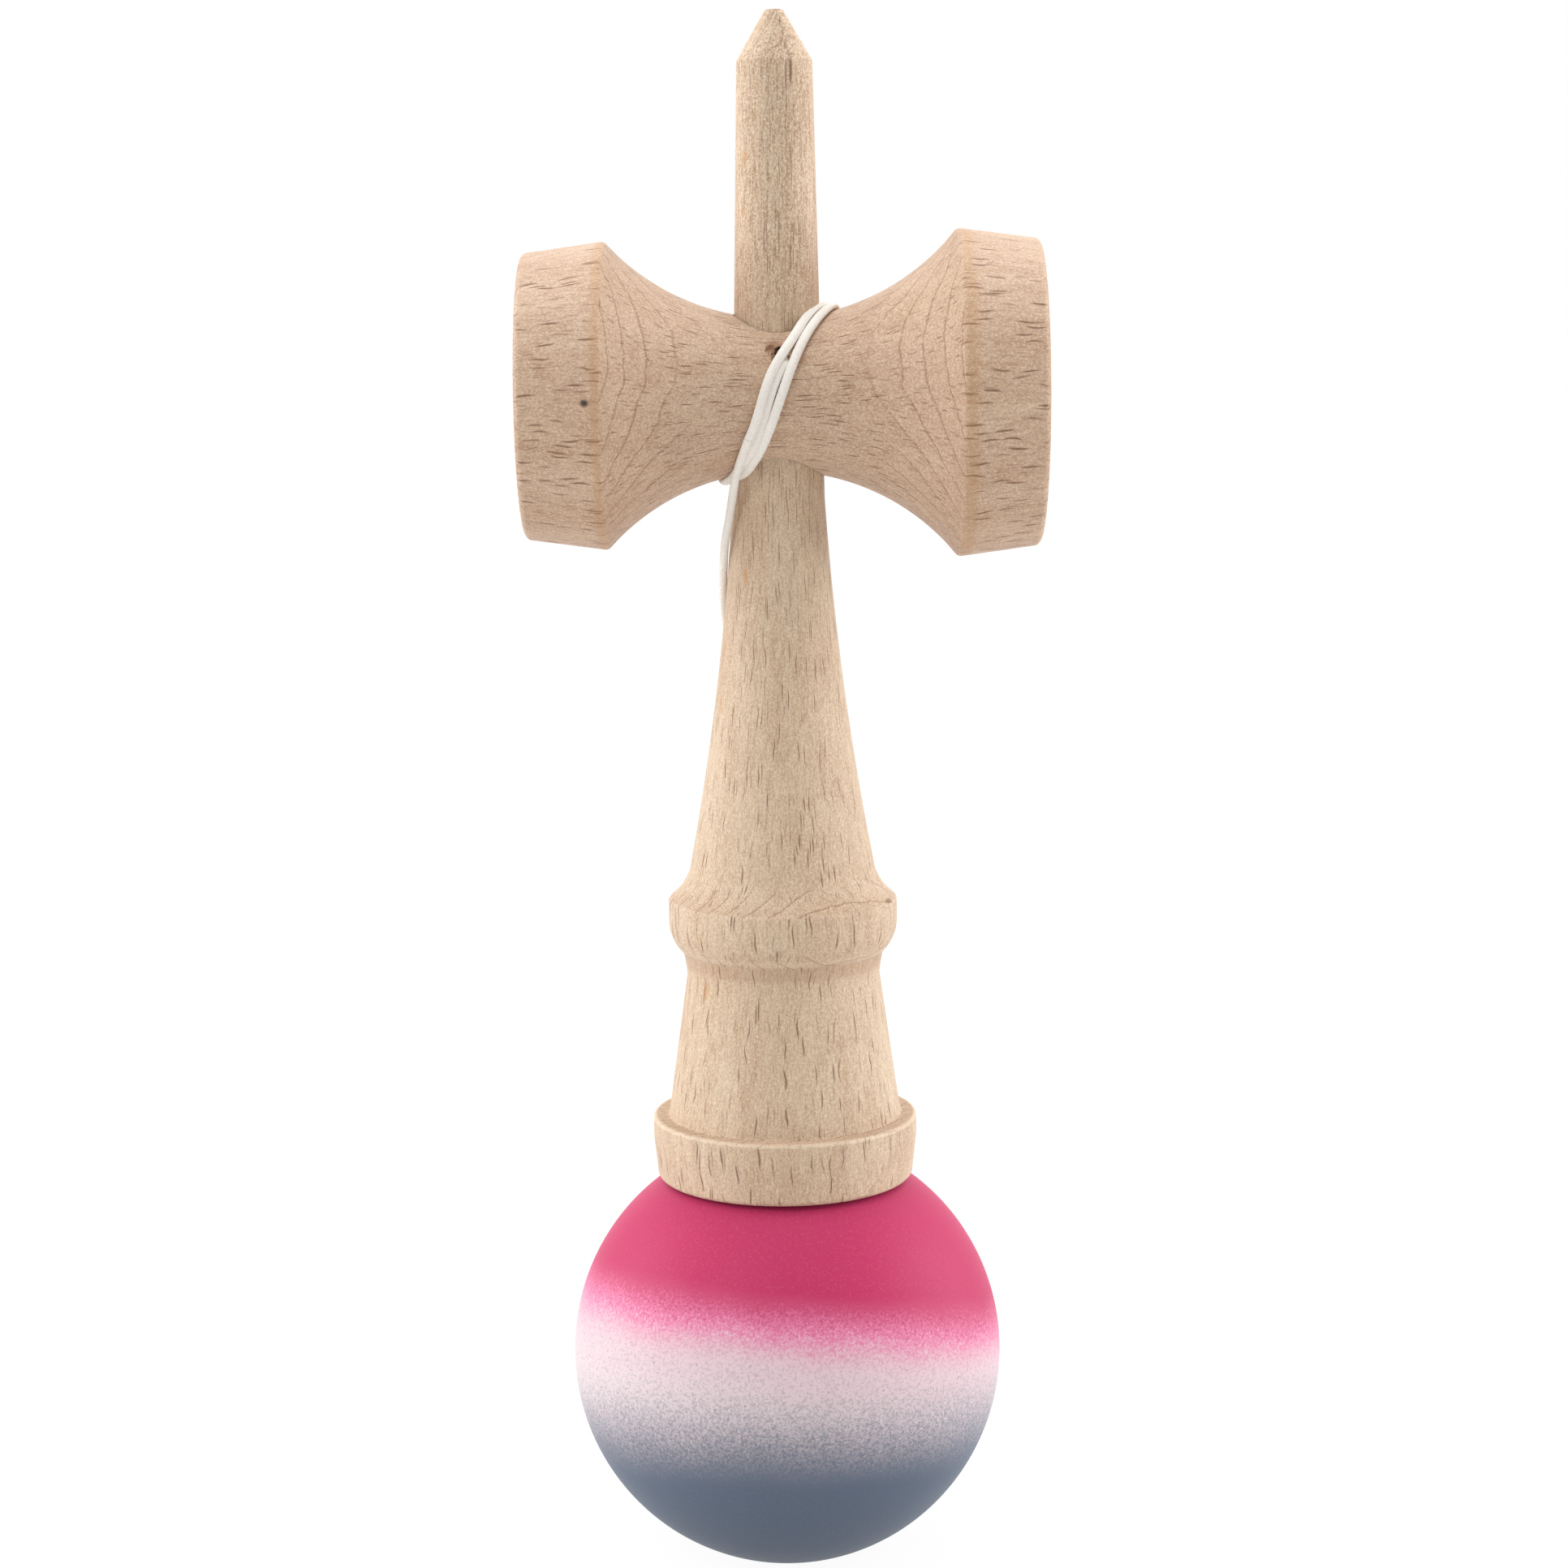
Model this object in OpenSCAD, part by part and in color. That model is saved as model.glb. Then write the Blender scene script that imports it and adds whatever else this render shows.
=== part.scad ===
// Kendama, the turned wooden cup-and-ball toy, standing put away on its ball.
// The ken is the handle with the spike, the sarado is the cross piece with the two side cups,
// and the tama is the ball. The string is tied into the ken, comes out of the sarado, is wound
// round its neck, drops behind the handle and goes under the base cup into the ball.
// Millimetres. The origin is on the table under the ball's centre, +Z runs up the ken,
// +X points to the big cup and the front of the toy faces -Y.

/* [Tama] */
// Diameter of the ball
tama_d = 60; // [56:1:64]
// Diameter of the big hole that the spike goes into
ana_d = 16; // [14:0.5:18]
// Depth of the big hole's straight wall below its bevel
ana_wall_h = 28.2; // [24:0.1:32]
// Half angle of the big hole's pointed end
ana_point_angle = 30; // [26:1:36]
// Width of the bevel round the big hole's mouth
ana_bevel = 1.8; // [1:0.1:2.6]
// Width of the flat ring that the ball stands on
rest_ring_w = 1.2; // [0.6:0.1:2]
// Diameter of the string hole through the top of the ball
tama_hole_d = 3.2; // [2.6:0.1:4]
// Width of the flare at the string hole's mouth
tama_hole_flare = 1; // [0.6:0.1:1.6]

/* [Ken base] */
// Widest diameter of the base
base_d = 36.7; // [34:0.1:40]
// How much narrower the base is at its lip
base_draft = 1.1; // [0.4:0.1:2]
// Height of the base from its lip to its ledge
base_h = 8.8; // [7:0.1:11]
// Height of the straight band under the ledge
base_band_h = 3; // [2:0.1:4]
// Radius of the rounded lip of the base cup
base_lip_r = 0.8; // [0.6:0.05:1]
// Depth of the base cup
base_cup_depth = 11; // [10:0.1:12.5]
// Width of the ledge on top of the base
ledge_w = 2.2; // [1.4:0.1:3]

/* [Ken handle] */
// Height of the cone between the ledge and the neck
cone_h = 19.8; // [15:0.1:25]
// Diameter of the neck under the collar
neck_d = 26.7; // [24:0.1:29]
// Height over which the neck swells to the collar
collar_rise_h = 8.1; // [6:0.1:10]
// Diameter of the collar
collar_d = 31.6; // [30:0.1:34]
// Height of the collar's band
collar_band_h = 2.6; // [1.8:0.1:4]
// Height of the cove from the collar's edge to the handle
cove_h = 4.1; // [3:0.1:6]
// Diameter of the handle where the cove meets it
handle_foot_d = 25.6; // [23:0.1:28]
// Height of the handle from the cove to the taper
handle_h = 50.9; // [45:0.1:60]
// Diameter at the handle's top, where the taper starts
taper_foot_d = 12.54; // [11.6:0.02:13.2]

/* [Ken spike] */
// Height of the taper from the handle to the spike's shoulder
taper_h = 58.3; // [54:0.1:64]
// Diameter of the spike's shoulder
shoulder_d = 10.16; // [9.4:0.02:11]
// Height of the spike's pointed end
tip_h = 6.7; // [5:0.1:9]
// Diameter of the blunt tip
tip_d = 2.3; // [1.8:0.1:3]
// Diameter of the cross hole for the string
ken_hole_d = 2.4; // [1.8:0.1:3]
// Diameter of the pocket that hides the string's knot
knot_pocket_d = 4.2; // [3.8:0.1:4.8]

/* [Sarado] */
// Height of the cross piece's axis above the taper's foot
sarado_rise = 14.1; // [12.5:0.1:18]
// Diameter of the neck between the cups
sarado_neck_d = 20.6; // [19:0.1:23]
// Radius of the hollow flare from the neck to the cups
flare_r = 31; // [28:0.5:36]
// Widest diameter of the big cup
big_cup_d = 44.2; // [42:0.1:47]
// Distance from the ken's axis to the big cup's rim
big_cup_reach = 35.4; // [33:0.1:39]
// How much narrower the big cup is at its rim
big_cup_draft = 2.7; // [1.5:0.1:3.5]
// Depth of the big cup
big_cup_depth = 9.8; // [8:0.1:11]
// Widest diameter of the small cup
small_cup_d = 41.4; // [39:0.1:43]
// Distance from the ken's axis to the small cup's rim
small_cup_reach = 34.3; // [32:0.1:38]
// How much narrower the small cup is at its rim
small_cup_draft = 2.8; // [1.5:0.1:3.5]
// Depth of the small cup
small_cup_depth = 9; // [7.5:0.1:10.5]
// Radius of the rounded cup rims
cup_lip_r = 0.95; // [0.7:0.05:1.3]
// Diameter of the string hole in the neck
sarado_hole_d = 3.2; // [2.6:0.1:4]
// Height of the string hole above the cross piece's axis
sarado_hole_rise = 5.8; // [4.5:0.1:6.5]

/* [String and bead] */
// Diameter of the braided string
string_d = 1.1; // [0.9:0.05:1.2]
// Diameter of the bead that the string turns on in the ball
bead_d = 7; // [6:0.1:8]
// Diameter of the bead's hole
bead_hole_d = 2; // [1.6:0.1:2.6]
// Diameter of the two end knots
knot_d = 3; // [2.6:0.1:3.4]

/* [Fits] */
// Gap between the ball and the lip of the base cup, where the string is nipped
seat_gap = 0.4; // [0.3:0.05:0.6]
// Radial play of the cross piece on the taper
taper_play = 0.1; // [0.05:0.05:0.2]
// Room round the loose string, the bead and the knots
soft_gap = 0.3; // [0.25:0.05:0.4]

/* [Hidden] */
$fn = 96;
// How far a cut runs past the face that it opens
overrun = 1;

// Small rounded edges of the turned pieces
ledge_edge_r = 0.5;
ledge_foot_r = 0.4;
collar_edge_r = 0.8;
shoulder_edge_r = 0.6;
tip_edge_r = 0.5;
cup_edge_r = 0.9;
// How far the handle's side and the cove are hollowed below a straight line
handle_hollow = 0.83;
cove_hollow = 0.4;

// Where the pieces stand
tama_r = tama_d / 2;
ana_r = ana_d / 2;
rest_r = ana_r + ana_bevel + rest_ring_w;
tama_z = sqrt(tama_r * tama_r - rest_r * rest_r);
tama_top_z = tama_z + tama_r;
ana_wall_top_z = ana_bevel + ana_wall_h;
ana_apex_z = ana_wall_top_z + ana_r / tan(ana_point_angle);
lip_mid_r = (base_d - base_draft) / 2 - base_lip_r;
lip_reach = tama_r + seat_gap + base_lip_r;
lip_angle = asin(lip_mid_r / lip_reach);
ken_z = tama_z + lip_reach * cos(lip_angle) - base_lip_r;

// Heights along the ken, from the lip of its base cup
neck_h = base_h + cone_h;
collar_h = neck_h + collar_rise_h;
collar_top_h = collar_h + collar_band_h;
handle_foot_h = collar_top_h + cove_h;
taper_foot_h = handle_foot_h + handle_h;
shoulder_h = taper_foot_h + taper_h;
ken_h = shoulder_h + tip_h;
sarado_z = ken_z + taper_foot_h + sarado_rise;
string_hole_z = sarado_z + sarado_hole_rise;
taper_slope = (taper_foot_d - shoulder_d) / 2 / taper_h;

// Radius of the ken's taper at a height above the table
function taper_r(z) = taper_foot_d / 2 - taper_slope * (z - ken_z - taper_foot_h);

// Radius of the cross piece's hollow flare at a distance from its middle
function flare_at(x) = sarado_neck_d / 2 + flare_r - sqrt(flare_r * flare_r - x * x);

// Distance from the middle at which the flare reaches a radius
function flare_x(r) = sqrt(pow(flare_r, 2) - pow(sarado_neck_d / 2 + flare_r - r, 2));

function unit(v) = v / norm(v);

// Smooth step from 0 to 1
function ease(t) = t * t * (3 - 2 * t);

// Points from a to b along a line that stands off its chord by sag at the middle, to the right
function bowed(a, b, sag, steps) =
    let (side = unit([b.y - a.y, a.x - b.x]))
    [for (i = [0:steps]) let (t = i / steps) a + (b - a) * t + side * sag * 4 * t * (1 - t)];

// Arc of radius r that rounds the corner at b between a and c
function corner(a, b, c, r, steps = 5) =
    let (u = unit(a - b), v = unit(c - b), half = acos(u * v) / 2)
    let (middle = b + unit(u + v) * r / sin(half))
    let (p = b + u * r / tan(half) - middle, q = b + v * r / tan(half) - middle)
    let (from = atan2(p.y, p.x), raw = atan2(q.y, q.x) - from)
    let (turn = raw > 180 ? raw - 360 : raw < -180 ? raw + 360 : raw)
    [for (i = [0:steps]) middle + r * [cos(from + turn * i / steps), sin(from + turn * i / steps)]];

// Outline of a round cup, from the middle of its floor to the outside of its rounded lip.
// The lip's highest line is at height 0, and the floor is a ball of the radius that runs
// smoothly into the lip.
function cup_outline(lip_mid, lip, depth, steps = 14) =
    let (ball_h = (pow(depth + lip, 2) - lip_mid * lip_mid - lip * lip) / (2 * depth))
    let (ball = depth - ball_h, spread = atan2(lip_mid, lip - ball_h))
    let (start = 270 - spread)
    concat(
        [for (i = [0:steps]) let (a = spread * i / steps) [ball * sin(a), ball_h + ball * cos(a)]],
        [for (i = [1:steps]) let (a = start + (360 - start) * i / steps)
            [lip_mid + lip * cos(a), lip + lip * sin(a)]]
    );

// Half outline of the ken, radius and height from its lip
ken_outline = let (
    ledge_edge = [base_d / 2, base_h],
    ledge_foot = [base_d / 2 - ledge_w, base_h],
    neck = [neck_d / 2, neck_h],
    collar_edge = [collar_d / 2, collar_top_h],
    handle_foot = [handle_foot_d / 2, handle_foot_h],
    taper_foot = [taper_foot_d / 2, taper_foot_h],
    shoulder = [shoulder_d / 2, shoulder_h],
    tip = [tip_d / 2, ken_h],
    cove = bowed(collar_edge, handle_foot, -cove_hollow, 8),
    rise_steps = 12
) concat(
    cup_outline(lip_mid_r, base_lip_r, base_cup_depth),
    [[base_d / 2, base_h - base_band_h]],
    corner([base_d / 2, 0], ledge_edge, ledge_foot, ledge_edge_r),
    corner(ledge_edge, ledge_foot, neck, ledge_foot_r),
    [for (i = [0:rise_steps]) let (t = i / rise_steps)
        [(neck_d + (collar_d - neck_d) * ease(t)) / 2, neck_h + collar_rise_h * t]],
    corner([collar_d / 2, collar_h], collar_edge, cove[2], collar_edge_r),
    [for (i = [2:len(cove) - 2]) cove[i]],
    bowed(handle_foot, taper_foot, -handle_hollow, 14),
    corner(taper_foot, shoulder, tip, shoulder_edge_r),
    corner(shoulder, tip, [0, ken_h], tip_edge_r),
    [[0, ken_h]]
);

// Half outline of one end of the cross piece, from the floor of its cup to the neck's middle,
// as radius and distance from the ken's axis
function sarado_end(d, draft, reach, depth, steps = 14) =
    let (edge = [d / 2, flare_x(d / 2)], rim = [(d - draft) / 2, reach - cup_lip_r])
    let (cup = cup_outline(rim.x - cup_lip_r, cup_lip_r, depth))
    let (span = asin(edge.y / flare_r), near = span * (1 - 1 / steps))
    let (next = [flare_at(flare_r * sin(near)), flare_r * sin(near)])
    concat(
        [for (p = cup) [p.x, reach - p.y]],
        corner(rim, edge, next, cup_edge_r),
        [for (i = [1:steps]) let (x = flare_r * sin(span * (1 - i / steps))) [flare_at(x), x]]
    );

sarado_outline = let (
    big = sarado_end(big_cup_d, big_cup_draft, big_cup_reach, big_cup_depth),
    small = sarado_end(small_cup_d, small_cup_draft, small_cup_reach, small_cup_depth)
) concat(big, [for (i = [len(small) - 2:-1:0]) [small[i].x, -small[i].y]]);

// The winding on the neck. The angle counts round the neck from its top, towards the front.
// Each turn lies in a slanted plane, to the right over the top and to the left underneath,
// and the next one lies beside it.
wind_slant = 7.79;
wind_lean = -1.1;
wind_pitch = 1.95;
wind_middle_turns = 1.404;
wind_start = 72;
wind_end = 860;
wind_steps = 53;

function wind_x(a) = wind_slant * cos(a) + wind_lean * sin(a)
    + wind_pitch * (a / 360 - wind_middle_turns);
function wind_point(a) =
    let (x = wind_x(a), r = flare_at(x) + soft_gap + string_d / 2)
    [x, -r * sin(a), sarado_z + r * cos(a)];

// The string leaves the ken's cross hole straight, and comes round out of the neck's hole
hole_inside_y = -(taper_r(string_hole_z) + taper_play);
hole_mouth_y = -sqrt(pow(sarado_neck_d / 2, 2) - pow(sarado_hole_rise, 2));
lead_out = [
    [0, hole_inside_y, string_hole_z],
    [0, hole_inside_y - string_d, string_hole_z],
    [0, hole_mouth_y - string_d, string_hole_z - string_d / 4]
];
winding_turns = [for (i = [0:wind_steps])
    wind_point(wind_start + (wind_end - wind_start) * i / wind_steps)];
leave_way = unit(wind_point(wind_end) - wind_point(wind_end - 1));
winding_route = concat(lead_out, winding_turns, [wind_point(wind_end) + leave_way * string_d]);
winding_end = winding_route[len(winding_route) - 1];

// The drop down the left of the handle, behind it, over the collar and past the base
drop_route = [
    [-5.9, -4.4, 149.5],
    [-6.3, -4.0, 145],
    [-7.1, -2.9, 141],
    [-7.7, -1.4, 138.5],
    [-8.0, 0.6, 136],
    [-8.1, 2.6, 133],
    [-7.6, 4.8, 129],
    [-6.6, 7.0, 124],
    [-5.4, 8.9, 118.5],
    [-4.2, 10.5, 113],
    [-3.0, 12.0, 107],
    [-2.0, 13.5, 101.5],
    [-1.2, 15.3, 96.5],
    [-0.7, 16.9, 92],
    [-0.4, 17.6, 87],
    [-0.2, 18.0, 81],
    [0, 18.5, 75],
    [0, 19.1, 69],
    [0, 19.8, 63.5],
    [0, 20.7, 59],
    [0, 21.4, 56]
];

// Where the string is nipped between the ball and the lip, as angles past the lip's own angle
// over the ball, and how thick the flattened string is there
nip_angles = [3, 1.6, 0.8, 0, -0.8, -1.6, -3, -5];
nip_shares = [1, 0.68, 0.27, 0.18, 0.27, 0.5, 0.9, 1];
// The nipped string stays this far off the ball
nip_gap = 0.1;
// Angles over the ball at which the string lies between the nip and the string hole
over_angles = [22, 16, 10];
// The bend radius of the limp string
bend_r = 2 * string_d;

// A point above the ball's back, by its angle from the top and its height off the paint
function over_ball(angle, off) =
    [0, (tama_r + off) * sin(angle), tama_z + (tama_r + off) * cos(angle)];

// The bend under the lip, which ends in line with the nip
nip_entry = over_ball(lip_angle + nip_angles[0], nip_gap + string_d / 2);
tuck_turn = 90 + lip_angle + nip_angles[0];
tuck_middle = nip_entry - bend_r * [0, cos(tuck_turn), -sin(tuck_turn)];
tuck_steps = 4;
tuck = [for (i = [0:tuck_steps - 1]) let (a = tuck_turn * i / tuck_steps)
    tuck_middle + bend_r * [0, cos(a), -sin(a)]];
// The bend over the top of the ball, down into the string hole
dive_top_z = tama_top_z + soft_gap + string_d / 2;
function dive(a) = [0, bend_r * (1 - sin(a)), dive_top_z - bend_r * (1 - cos(a))];
// The run on the ken meets the tail in the ball at this angle of that bend, in a short straight
dive_split = 50;
dive_way = [0, -cos(dive_split), -sin(dive_split)];
dive_straight = string_d / 4;
dive_meet = dive(dive_split);

// Smooth line through hand-chosen points, with one more point between each two
function smooth(p) = [for (i = [0:2 * (len(p) - 1)]) let (k = floor(i / 2), n = len(p) - 1)
    i % 2 == 0 ? p[k] : (9 * (p[k] + p[k + 1]) - p[max(k - 1, 0)] - p[min(k + 2, n)]) / 16];

run_route = concat(
    [winding_end],
    smooth(concat([winding_end + leave_way * string_d], drop_route)),
    tuck,
    [for (i = [0:len(nip_angles) - 1])
        over_ball(lip_angle + nip_angles[i], nip_gap + string_d * nip_shares[i] / 2)],
    [for (a = over_angles) over_ball(a, soft_gap + string_d / 2)],
    [dive(0), dive(dive_split / 2), dive_meet - dive_way * dive_straight, dive_meet]
);
nip_first = len(run_route) - len(nip_angles) - len(over_angles) - 4;

// The bead hangs in the pointed end of the big hole, with the knot under it
bead_z = ana_apex_z - (bead_d / 2 + soft_gap) / sin(ana_point_angle);
knot_flat_share = 0.4;
knot_flat = knot_d * knot_flat_share;
tama_knot_z = bead_z - bead_d / 2 - soft_gap - knot_flat;
tail_route = [
    dive_meet,
    dive_meet + dive_way * dive_straight,
    dive(75),
    [0, 0, dive_top_z - bend_r],
    [0, 0, bead_z + bead_d],
    [0, 0, tama_knot_z + knot_flat]
];

// The knot pocket at the back of the ken's cross hole
knot_pocket_depth = 2 * knot_flat + soft_gap;
ken_knot_y = taper_r(string_hole_z) - soft_gap - knot_flat;

// Tube along a route, of triangles. Each ring is an ellipse: wide along its across vector and
// thick square to it.
module swept(route, across, wide, thick, sides) {
    last = len(route) - 1;
    rings = [for (i = [0:last])
        let (way = unit(route[min(i + 1, last)] - route[max(i - 1, 0)]))
        let (b = unit(across[i] - (across[i] * way) * way), n = cross(way, b))
        for (k = [0:sides - 1]) let (a = 360 * k / sides)
            route[i] + b * cos(a) * wide[i] / 2 + n * sin(a) * thick[i] / 2];
    walls = [for (i = [0:last - 1], k = [0:sides - 1])
        let (p = i * sides + k, q = i * sides + (k + 1) % sides)
        each [[p, p + sides, q + sides], [p, q + sides, q]]];
    foot = [for (k = [1:sides - 2]) [0, k, k + 1]];
    top = last * sides;
    head = [for (k = [1:sides - 2]) [top, top + k + 1, top + k]];
    polyhedron(rings, concat(foot, walls, head));
}

// Width of the string when it is flattened to a thickness, with the same girth
function flattened(thick) = sqrt(2 * string_d * string_d - thick * thick);

function same(value, count) = [for (i = [1:count]) value];

// Distance from a point to the stretch between two others
function off_stretch(p, a, b) =
    let (t = max(0, min(1, ((p - a) * (b - a)) / ((b - a) * (b - a)))))
    norm(p - a - (b - a) * t);

// Least gap between strands of a tube that are more than a few rings apart
function own_gap(route, d, skip) = min([for (i = [0:len(route) - 1], j = [0:len(route) - 2])
    if (abs(i - j) > skip && abs(i - j - 1) > skip)
        off_stretch(route[i], route[j], route[j + 1])]) - d;

function route_length(p) =
    [for (i = [1:len(p) - 1]) norm(p[i] - p[i - 1])] * same(1, len(p) - 1);

// Piece turned about the Z axis from its half outline
module turned(outline) {
    rotate_extrude() polygon(outline);
}

// Handle with the base cup underneath, the taper for the cross piece and the spike on top
module ken() {
    color("BurlyWood") difference() {
        translate([0, 0, ken_z]) turned(ken_outline);
        translate([0, 0, string_hole_z]) rotate([90, 0, 0]) {
            cylinder(d = ken_hole_d, h = base_d, center = true);
            translate([0, 0, -knot_pocket_d - taper_r(string_hole_z)])
                cylinder(d = knot_pocket_d, h = knot_pocket_d + knot_pocket_depth);
        }
    }
}

// Cross piece with the big cup on the right and the small cup on the left
module sarado() {
    bore_low = sarado_z - sarado_neck_d;
    bore_high = sarado_z + sarado_neck_d;
    color("Tan") difference() {
        translate([0, 0, sarado_z]) rotate([0, 90, 0]) turned(sarado_outline);
        translate([0, 0, bore_low]) cylinder(
            r1 = taper_r(bore_low) + taper_play,
            r2 = taper_r(bore_high) + taper_play,
            h = bore_high - bore_low
        );
        translate([0, 0, string_hole_z]) rotate([90, 0, 0])
            cylinder(d = sarado_hole_d, h = sarado_neck_d);
    }
}

// Ball with the big hole underneath and the string hole on top
module tama() {
    color("MediumVioletRed") difference() {
        translate([0, 0, tama_z]) sphere(d = tama_d);
        translate([-tama_d, -tama_d, -tama_d]) cube([2 * tama_d, 2 * tama_d, tama_d]);
        translate([0, 0, -overrun])
            cylinder(r1 = ana_r + ana_bevel + overrun, r2 = ana_r, h = ana_bevel + overrun);
        cylinder(r = ana_r, h = ana_wall_top_z);
        translate([0, 0, ana_wall_top_z]) cylinder(r1 = ana_r, r2 = 0, h = ana_apex_z - ana_wall_top_z);
        cylinder(d = tama_hole_d, h = tama_d);
        translate([0, 0, tama_top_z - tama_hole_flare]) cylinder(
            d1 = tama_hole_d,
            d2 = tama_hole_d + 2 * (tama_hole_flare + overrun),
            h = tama_hole_flare + overrun
        );
    }
}

// Bead inside the ball that lets the string turn
module bead() {
    color("SaddleBrown") translate([0, 0, bead_z]) difference() {
        sphere(d = bead_d);
        cylinder(d = bead_hole_d, h = 2 * bead_d, center = true);
    }
}

// The turns of string round the neck of the cross piece
module string_winding() {
    count = len(winding_route);
    out = [for (p = winding_route) [0, p.y, p.z - sarado_z]];
    color("White") swept(winding_route, out, same(string_d, count), same(string_d, count), 6);
}

// The string from the winding down behind the handle and under the lip of the base cup
module string_run() {
    count = len(run_route);
    thick = [for (i = [0:count - 1]) let (k = i - nip_first)
        string_d * (k >= 0 && k < len(nip_shares) ? nip_shares[k] : 1)];
    wide = [for (t = thick) flattened(t)];
    color("White") swept(run_route, same([1, 0, 0], count), wide, thick, 8);
}

// The string from the base cup down through the ball and the bead
module string_tail() {
    count = len(tail_route);
    color("White") swept(tail_route, same([1, 0, 0], count), same(string_d, count),
        same(string_d, count), 8);
}

// Tight end knot, a ball with two flat sides
module knot() {
    intersection() {
        sphere(d = knot_d);
        cube([knot_d, knot_d, 2 * knot_flat], center = true);
    }
}

// Knot in the ken's pocket, with the string that leads out through the cross hole
module ken_knot() {
    color("White") translate([0, 0, string_hole_z]) {
        translate([0, ken_knot_y, 0]) rotate([90, 0, 0]) {
            knot();
            cylinder(d = string_d, h = ken_knot_y - hole_inside_y);
        }
    }
}

// Knot under the bead
module tama_knot() {
    color("White") translate([0, 0, tama_knot_z]) knot();
}

ken();
sarado();
tama();
bead();
string_winding();
string_run();
string_tail();
ken_knot();
tama_knot();

echo(winding_gap_mm = own_gap(winding_route, string_d, 6));
echo(string_lengths_mm = [route_length(winding_route), route_length(run_route),
    route_length(tail_route), ken_knot_y - hole_inside_y]);
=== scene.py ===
# %% [markdown]
# # A kendama, dressed in Blender
# A kendama is a wooden cup-and-ball toy. Its handle, the ken, carries a cross piece with two
# cups, the sarado, and both are tied by a string to a painted ball, the tama. Here the toy is
# put away: it stands on its ball, and the string is wound round the cross piece's neck.
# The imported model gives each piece's place, size and joints, so it is loaded first, and every
# surface below is built in the same frame.

# %% The frame
import math

import bmesh
import bpy
import numpy as np
from mathutils import Matrix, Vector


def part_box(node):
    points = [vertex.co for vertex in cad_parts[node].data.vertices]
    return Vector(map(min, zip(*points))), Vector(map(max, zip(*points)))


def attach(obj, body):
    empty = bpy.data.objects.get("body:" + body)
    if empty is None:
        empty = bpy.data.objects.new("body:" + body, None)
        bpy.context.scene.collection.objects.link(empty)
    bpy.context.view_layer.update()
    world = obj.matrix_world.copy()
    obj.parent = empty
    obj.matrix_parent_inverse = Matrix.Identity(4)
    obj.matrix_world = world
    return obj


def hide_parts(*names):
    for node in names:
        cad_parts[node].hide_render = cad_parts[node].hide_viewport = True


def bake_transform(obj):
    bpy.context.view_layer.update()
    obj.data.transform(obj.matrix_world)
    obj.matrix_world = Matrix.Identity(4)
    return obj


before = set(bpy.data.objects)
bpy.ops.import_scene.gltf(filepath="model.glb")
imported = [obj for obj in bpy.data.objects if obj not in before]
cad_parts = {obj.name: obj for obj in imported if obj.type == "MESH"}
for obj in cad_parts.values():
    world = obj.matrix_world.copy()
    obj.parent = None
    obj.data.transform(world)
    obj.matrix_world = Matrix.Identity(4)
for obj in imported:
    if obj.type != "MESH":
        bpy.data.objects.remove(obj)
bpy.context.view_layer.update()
MM = 0.001


def box_mm(node):
    """A node's lowest and highest corner in millimetres."""
    low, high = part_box(node)
    return np.array(low) / MM, np.array(high) / MM


print("nodes:", sorted(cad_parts))

# %% [markdown]
# ## The camera
# The photograph's view was worked out from the ball's and the base's outlines: the camera
# stands 44 cm in front of the toy, a little above its middle, looks slightly down, and is
# turned by half a degree. A lens length in millimetres is the focal length in pixels times
# the sensor's width over the picture's side.

# %% The camera
PHOTO_SIDE = 1932
FOCAL_PIXELS = 4017
CAMERA_PLACE = (0.33, -443.7, 178.2)
CAMERA_PITCH_DOWN = 8.94
CAMERA_ROLL = -0.58

camera_data = bpy.data.cameras.new("camera")
camera_data.sensor_width = 36
camera_data.lens = camera_data.sensor_width * FOCAL_PIXELS / PHOTO_SIDE
camera_data.clip_start = 0.02
camera = bpy.data.objects.new("camera", camera_data)
bpy.context.scene.collection.objects.link(camera)
camera.matrix_world = (
    Matrix.Translation([MM * v for v in CAMERA_PLACE])
    @ Matrix.Rotation(math.radians(90 - CAMERA_PITCH_DOWN), 4, "X")
    @ Matrix.Rotation(math.radians(CAMERA_ROLL), 4, "Z")
)
bpy.context.scene.camera = camera
print(f"lens {camera_data.lens:.2f} mm")

# %% [markdown]
# ## Main sizes
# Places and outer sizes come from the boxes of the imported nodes. The sizes in between, such
# as the neck of the cross piece, are those that a turner would take off with calipers. All of
# them are in millimetres, and a mesh becomes metres only when it is made.

# %% Main sizes
tama_low, tama_high = box_mm("tama")
ken_low, ken_high = box_mm("ken")
sarado_low, sarado_high = box_mm("sarado")
bead_low, bead_high = box_mm("bead")

tama_r = (tama_high[0] - tama_low[0]) / 2
ana_r = 8
ana_bevel = 1.8
ana_wall_h = 28.2
ana_point_angle = math.radians(30)
rest_ring_w = 1.2
rest_r = ana_r + ana_bevel + rest_ring_w
tama_z = math.sqrt(tama_r**2 - rest_r**2)
tama_top_z = tama_z + tama_r
tama_hole_r = 1.6

ken_z = ken_low[2]
ken_h = ken_high[2] - ken_z
taper_foot_h = 94.3
taper_foot_d = 12.54
shoulder_d = 10.16
taper_h = 58.3

sarado_z = (sarado_low[2] + sarado_high[2]) / 2
sarado_neck_r = 10.3
flare_r = 31
string_hole_up = 5.8
string_hole_z = sarado_z + string_hole_up

string_d = 1.1
bead_r = (bead_high[0] - bead_low[0]) / 2
bead_z = (bead_low[2] + bead_high[2]) / 2


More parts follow.
